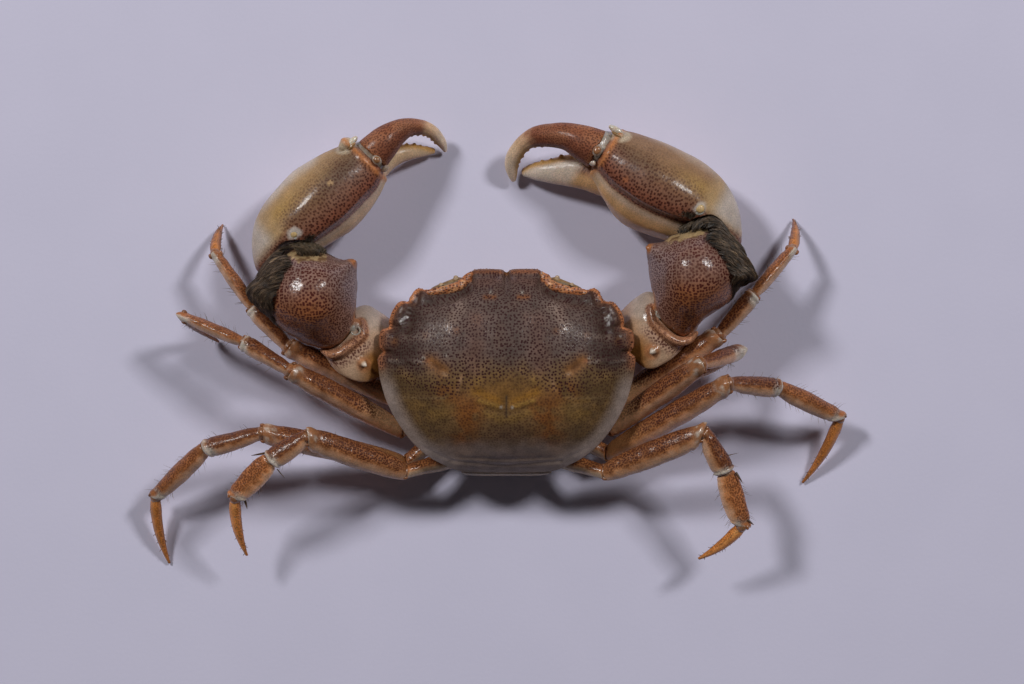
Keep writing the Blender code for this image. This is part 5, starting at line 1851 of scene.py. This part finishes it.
def segment_grid(joints, index, kind, size, around=26, along=46):
    """Rings of one limb segment, its shares of length and its angles round."""
    start, end = joints[index], joints[index + 1]
    direction = unit(end - start)
    side = unit(np.cross(direction, UP))
    top = np.cross(side, direction)
    cuts = []
    for other, sign in ((index - 1, 1), (index + 2, -1)):
        if 0 <= other < len(joints):
            near = start if sign == 1 else end
            cuts.append(unit(direction + unit(near - joints[other]) * sign))
        else:
            cuts.append(direction)
    length = np.linalg.norm(end - start)
    bow_up = -cuts[0] + direction * cuts[0].dot(direction)
    shares = 0.5 - 0.5 * np.cos(np.linspace(0, math.pi, along)) if kind != "dactyl" else np.linspace(0, 1, along)
    shares = 0.6 * shares + 0.4 * np.linspace(0, 1, along)
    table = np.array(SEGMENT_SHAPES[kind])
    swell = np.interp(shares, table[:, 0], table[:, 1])
    swell = np.convolve(np.pad(swell, 3, mode="edge"), np.ones(7) / 7, mode="valid")
    turn = np.arange(around) * 2 * math.pi / around
    crest = hill(turn, math.pi / 2, 0.34)
    keel = hill(turn, math.pi * 1.5, 0.4)
    flank = 1 - crest - keel
    rings = []
    for share, scale in zip(shares, swell):
        breadth, depth = size[0] * scale, size[1] * scale
        centre = start + direction * length * share
        if kind == "dactyl" and np.linalg.norm(bow_up) > 0.01:
            centre = centre - unit(bow_up) * 4 * share * (1 - share) * TOE_BOW * length
        shape = 1 + crest * 0.07 + keel * 0.04 - flank * 0.03
        if kind == "dactyl":
            shape = 1 - 0.10 * np.abs(np.sin(2 * turn)) + 0.04
        elif kind != "hip":
            lip = hill(share, 0.965, 0.03) * 0.09 + hill(share, 0.90, 0.025) * -0.05
            shape = shape + lip + hill(share, 0.03, 0.03) * 0.05
        ring = centre + np.outer(np.cos(turn) * shape * breadth / 2, side)
        ring = ring + np.outer(np.sin(turn) * shape * depth / 2, top)
        for cut, nearness, sign in (
            (cuts[0], max(0.0, 1 - 3 * share), 1),
            (cuts[1], max(0.0, 1 - 3 * (1 - share)), -1),
        ):
            slope = cut.dot(direction)
            slide = sign * GAP / 2 / slope - (ring - centre) @ cut / slope
            ring = ring + np.outer(slide * nearness, direction)
        rings.append(ring)
    return np.array(rings), shares, turn


LEG_TONES = {
    "hip": (0.30, 0.85),
    "merus": (0.85, 1.0),
    "carpus": (1.0, 1.0),
    "propodus": (0.95, 0.72),
    "dactyl": (0.25, 0.5),
}


def make_leg(name, corners):
    number = int(name.split("_")[1])
    joints = np.array(corners)
    for index, kind in enumerate(SEGMENTS):
        size = np.array(LEG_SIZES[kind][number - 1]) * LEG_SWELL[kind]
        rings, shares, turn = segment_grid(joints, index, kind, size)
        bulge = 0.04 if kind == "dactyl" else 0.12
        piece = make_mesh(f"{name}_{kind}_shell", *shell_of(rings, (0.12, bulge)))
        points, normals = points_of(piece)
        start, end = joints[index], joints[index + 1]
        length = np.linalg.norm(end - start)
        share = (points - start) @ (end - start) / length**2
        front = unit(np.cross(UP, end - start))
        front = front if front[1] > 0 else -front
        crest = ramp(normals @ unit(UP + front * 0.45), 0.72, 0.98)
        steps = np.column_stack([share * length, 0 * share, 0 * share])
        middle = ramp(share, 0.06, 0.14) * ramp(0.94 - share, 0.0, 0.08)
        lift = crest * noise(steps, 0.42, number + index) * 0.07 * middle
        lift = lift + noise(points, 0.55, 111) * 0.024 + noise(points, 1.6, 113) * 0.05 * middle
        if kind in ("hip", "dactyl"):
            lift = noise(points, 0.5, 112) * 0.014
        push(piece, lift)
        chart = limb_chart(points, start, end, sum(size) / 4)
        paint_segment(piece, kind, number, share, normals, front, chart)
        place(piece, MATERIALS["leg"], "leg_shell", f"{name}_{kind}")
    make_leg_joints(name, joints, number)
    make_bristles(name, joints, number)


# How much fuller the skin of each segment is than its solid
LEG_SWELL = {"hip": 1.0, "merus": 1.03, "carpus": 1.06, "propodus": 1.06, "dactyl": 1.0}

def paint_segment(piece, kind, number, share, normals, front, chart):
    points, _ = points_of(piece)
    depth, strength = LEG_TONES[kind]
    facing = normals @ unit(front * 0.72 + UP * 0.70) + noise(points, 0.9, 121) * 0.14
    facing = facing + noise(points, 0.35, 122) * 0.12
    dark = ramp(facing, 0.32, 0.66)
    tint = blend(np.broadcast_to(np.array([0.600, 0.350, 0.220]), points.shape),
                 np.array([0.500, 0.200, 0.070]), ramp(facing, 0.0, 0.55))
    band = np.array([0.310, 0.100, 0.034]) if kind in ("propodus", "hip") else np.array([0.175, 0.055, 0.020])
    tint = blend(tint, band, dark * depth * (0.7 if kind == "propodus" else 0.85))
    if kind == "merus":
        inner = ramp(0.5 - share, 0.0, 0.35)
        # Inner end of the merus: for the first two pairs very light, partly its pale colour and partly painted light
        # against the shade the arm casts there
        near = np.array([0.850, 0.480, 0.250]) if number < 3 else np.array([0.480, 0.220, 0.085])
        tint = blend(tint, near, inner * (0.85 if number < 4 else 0.2))
    if kind == "dactyl":
        tint = blend(tint, np.array([0.600, 0.215, 0.048]), np.full(len(points), 0.85))
        tint = blend(tint, np.array([0.750, 0.400, 0.150]), hill(normals[:, 2], 1.0, 0.12) * (number > 3) * 0.6)
        tint = blend(tint, np.array([0.160, 0.055, 0.018]), ramp(share, 0.85, 1.0) * 0.7)
        edge = ramp(0.55 - np.abs(normals[:, 2]), 0.0, 0.3)
        tint = blend(tint, np.array([0.230, 0.070, 0.020]), edge * 0.8)
    if kind in ("propodus", "dactyl") and number > 3:
        tint = tint * 1.35
    if kind == "propodus":
        end = ramp(share + noise(points, 0.6, 123) * 0.06, 0.78, 0.91)
        tint = blend(tint, WHITE * 0.85, end * ramp(0.95 - facing, 0.0, 0.4) * 0.85)
    if kind in ("carpus", "merus"):
        ring = ramp(share, 0.90, 0.95)
        tint = blend(tint, np.array([0.360, 0.160, 0.070]), ring * 0.6)
        tint = blend(tint, WHITE * 0.8, ring * ramp(noise(points, 0.5, 124), 0.0, 0.4) * 0.6)
    if kind == "carpus":
        end = ramp(share + noise(points, 0.6, 126) * 0.06, 0.76, 0.90) * ramp(0.95 - facing, 0.0, 0.35)
        tint = blend(tint, WHITE * 0.85, end * 0.85)
    if kind == "hip":
        tint = blend(tint, CREAM * 1.0, ramp(0.7 - facing, 0.0, 0.7) * 0.8)
        tint = blend(tint, RUST * 1.4, dark * ramp(noise(points, 0.8, 125), -0.2, 0.4) * 0.8)
    spotted = dark * strength * ramp(share, -0.02, 0.1) * ramp(0.97 - share, 0.0, 0.1)
    if kind == "merus" and number < 4:
        spotted = spotted * ramp(share, 0.05, 0.4)
    colour(piece, tint, spotted, 0.05, 0.6, chart)


def make_leg_joints(name, joints, number):
    """Skin and knobs between the segments of a leg."""
    parts, tints = [], []
    for index in range(1, 5):
        here = joints[index]
        before = unit(here - joints[index - 1])
        after = unit(joints[index + 1] - here)
        axis = unit(before + after)
        side = unit(np.cross(axis, UP))
        size = LEG_SIZES[SEGMENTS[index - 1]][number - 1]
        radius = 0.30 * min(size)
        if index == 4:
            radius = 0.42 * LEG_SIZES["dactyl"][number - 1][0]
        core = ball(here, (0.42 + GAP, radius * 1.12, radius * 1.18), axis, 22, 12)
        parts.append(core)
        pale = ramp(noise(core[0], 0.45, 131), 0.0, 0.5) * 0.6
        low = ramp(here[2] - core[0][:, 2] + here[1] - core[0][:, 1], 0.1, 0.7)
        warm = np.array([0.300, 0.120, 0.045])
        tints.append(blend(np.broadcast_to(warm, core[0].shape), BONE, np.maximum(pale * 0.5, low * 0.7)))
        for way in (-1, 1):
            where = here + side * way * radius * 1.16 + UP * radius * 0.42 - before * 0.12
            knob = ball(where, (0.36, 0.24, 0.26), before, 14, 8)
            parts.append(knob)
            tints.append(np.broadcast_to(ORANGE * random.uniform(0.5, 0.9), knob[0].shape))
        if index in (2, 3):
            top = here + UP * radius * 1.12 - before * 0.16
            knob = ball(top, (0.3, 0.42, 0.2), before, 14, 8)
            parts.append(knob)
            tints.append(np.broadcast_to(blend(RUST, ORANGE, 0.4), knob[0].shape))
    piece = make_mesh(name + "_joint_skin", *joined(*parts))
    colour(piece, np.concatenate(tints), 0.0, 0.0, 0.6)
    place(piece, MATERIALS["skin"], "leg_shell")


def make_claw_hips():
    for side in SIDES:
        joints = np.array(SHOULDER_JOINTS[side])
        rings, shares, turn = segment_grid(joints, 0, "hip", SHOULDER_SIZE, 48, 50)
        piece = make_mesh("claw_hip_shell_" + side, *shell_of(rings, (0.3, 0.3)))
        points, normals = points_of(piece)
        push(piece, noise(points, 1.2, 141) * 0.05)
        tint = blend(np.broadcast_to(CREAM * 0.85, points.shape), AMBER * 1.3,
                     ramp(normals[:, 2] + noise(points, 1.0, 142) * 0.4, -0.2, 0.6) * 0.7)
        colour(piece, tint, 0.0, 0.1, 0.5)
        place(piece, MATERIALS["under"], "pale_claw_shell", "claw_hip_" + side)


# Stage

def make_stage():
    """A pale sheet of paper under the crab, lit softly from both upper corners."""
    half, steps = 600.0, 61
    line = np.linspace(-half, half, steps)
    x, y = np.meshgrid(line, line, indexing="ij")
    points = np.column_stack([x.ravel(), y.ravel(), np.full(x.size, -0.02)])
    index = np.arange(steps * steps).reshape(steps, steps)
    faces = np.stack([index[:-1, :-1], index[1:, :-1], index[1:, 1:], index[:-1, 1:]], axis=-1)
    floor = make_mesh("paper_floor", points, faces.reshape(-1, 4))
    g = Graph("paper")
    tone = g.spread(g.cloud(14.0, 4.0), 0.3, 0.7, 0.0, 1.0)
    g.join(g.mix(tone, (0.676, 0.650, 0.812, 1), (0.692, 0.664, 0.828, 1)), g.shader.inputs["Base Color"])
    g.shader.inputs["Roughness"].default_value = 0.85
    relief = g.add("ShaderNodeBump")
    relief.inputs["Strength"].default_value = 0.25
    relief.inputs["Distance"].default_value = 0.05 * MM
    g.join(g.cloud(0.5, 4.0), relief.inputs["Height"])
    g.join(relief.outputs["Normal"], g.shader.inputs["Normal"])
    floor.data.materials.append(g.material)


def toe_bow(joints, index):
    """How far the middle of a toe is bowed off its straight line, and nothing for other segments."""
    if index != 4:
        return np.zeros(3)
    start, end = joints[index], joints[index + 1]
    direction = unit(end - start)
    cut = unit(direction + unit(start - joints[index - 1]))
    bow = cut - direction * cut.dot(direction)
    return unit(bow) * TOE_BOW * np.linalg.norm(end - start)


# Position in millimetres, side in millimetres and power of each lamp
LAMPS = (
    ((-380, 336, 520), 112, 2.40),
    ((380, 336, 520), 112, 2.10),
)
WORLD_LIGHT = 0.031


def make_lights():
    for i, (where, size, power) in enumerate(LAMPS):
        light = bpy.data.lights.new(f"lamp_{i}", "AREA")
        light.shape = "SQUARE"
        light.size = size * MM
        light.energy = power
        lamp = bpy.data.objects.new(f"lamp_{i}", light)
        lamp.location = Vector(where) * MM
        aim = Vector((0, 0, 0)) - lamp.location
        lamp.rotation_euler = aim.to_track_quat("-Z", "Y").to_euler()
        bpy.context.scene.collection.objects.link(lamp)
    world = bpy.data.worlds.new("studio")
    world.use_nodes = True
    background = world.node_tree.nodes["Background"]
    background.inputs["Color"].default_value = (0.95, 0.95, 1.0, 1.0)
    background.inputs["Strength"].default_value = WORLD_LIGHT
    bpy.context.scene.world = world
    bpy.context.scene.view_settings.view_transform = "Standard"


def make_camera():
    lens = bpy.data.cameras.new("camera")
    lens.lens = 100
    lens.sensor_width = 36
    lens.clip_start = 0.01
    camera = bpy.data.objects.new("camera", lens)
    camera.location = (0.65 * MM, 3.5 * MM, 345 * MM)
    bpy.context.scene.collection.objects.link(camera)
    bpy.context.scene.camera = camera


# Segment of a leg, how many bristles it carries and how long the longest is
BRISTLES = ((1, 14, 0.7), (2, 18, 1.2), (3, 34, 1.3), (4, 26, 0.45))

# Brown spines of the last pair of legs: root, tip and thickness
LEG_SPINES = {
    "leg_4_left": (
        ((-28.1, -9.5, 11.5), (-29.9, -9.8, 11.9), 0.14),
        ((-28.4, -10.1, 11.3), (-29.8, -10.5, 11.6), 0.10),
        ((-30.9, -14.9, 9.6), (-30.6, -16.2, 9.3), 0.17),
        ((-26.9, -11.4, 11.4), (-26.0, -12.5, 11.2), 0.07),
    ),
    "leg_4_right": (
        ((26.9, -11.8, 11.2), (27.7, -13.0, 11.3), 0.16),
        ((25.5, -9.9, 11.3), (27.2, -9.5, 11.7), 0.06),
        ((28.3, -17.4, 9.2), (29.2, -18.1, 9.2), 0.17),
    ),
}

def make_bristles(name, joints, number):
    """Sparse hairs on the leg, and short dark spines on its toe."""
    paths, sizes, tones = [], [], []
    for index, count, longest in BRISTLES:
        start, end = joints[index], joints[index + 1]
        direction = unit(end - start)
        side = unit(np.cross(direction, UP))
        top = np.cross(side, direction)
        kind = SEGMENTS[index]
        size = np.array(LEG_SIZES[kind][number - 1]) * LEG_SWELL[kind]
        table = np.array(SEGMENT_SHAPES[kind])
        bow = toe_bow(joints, index)
        for _ in range(count):
            share = random.uniform(0.12, 0.95)
            swell = np.interp(share, table[:, 0], table[:, 1])
            angle = random.choice([0.1, math.pi / 2, math.pi - 0.1]) + random.normal(0, 0.25)
            out = side * math.cos(angle) * size[0] / 2 + top * math.sin(angle) * size[1] / 2
            centre = start + (end - start) * share + bow * 4 * share * (1 - share)
            root = centre + out * swell * 0.85
            length = random.uniform(0.45, 1.0) * longest
            tip = root + unit(unit(out) + direction * random.uniform(0.4, 1.2)) * length
            tip[2] = max(tip[2], 0.06)
            bend = random.normal(0, 0.05, 3)
            t = np.linspace(0, 1, 5)[:, None]
            paths.append(root * (1 - t) + tip * t + bend * 4 * t * (1 - t))
            sizes.append(0.018 if index != 4 else 0.04)
            tones.append(random.uniform(0.5, 1.6))
    for root, tip, thickness in LEG_SPINES.get(name, ()):
        t = np.linspace(0, 1, 5)[:, None]
        paths.append(np.array(root) * (1 - t) + np.array(tip) * t)
        sizes.append(thickness)
        tones.append(0.7)
    points, faces = strands(np.array(paths), np.array(sizes), 4)
    piece = make_mesh(name + "_bristles", points, faces)
    paint = np.repeat(np.array(tones)[:, None] * np.array([0.130, 0.065, 0.028]), 20, axis=0)
    colour(piece, paint, 0.0, 0.0, 0.5)
    place(piece, MATERIALS["bristle"], "leg_shell")


def main():
    make_camera()
    make_stage()
    make_lights()
    edge = make_carapace()
    make_beads(edge)
    make_sockets()
    make_breast()
    make_tail_and_mouth()
    make_eyes()
    make_claw_hips()
    for side in SIDES:
        make_arm(side)
        make_wrist(side)
        make_fur(side)
        make_palm(side)
        make_finger(side)
        make_hinge(side)
    for name, corners in LEG_JOINTS.items():
        make_leg(name, corners)


main()
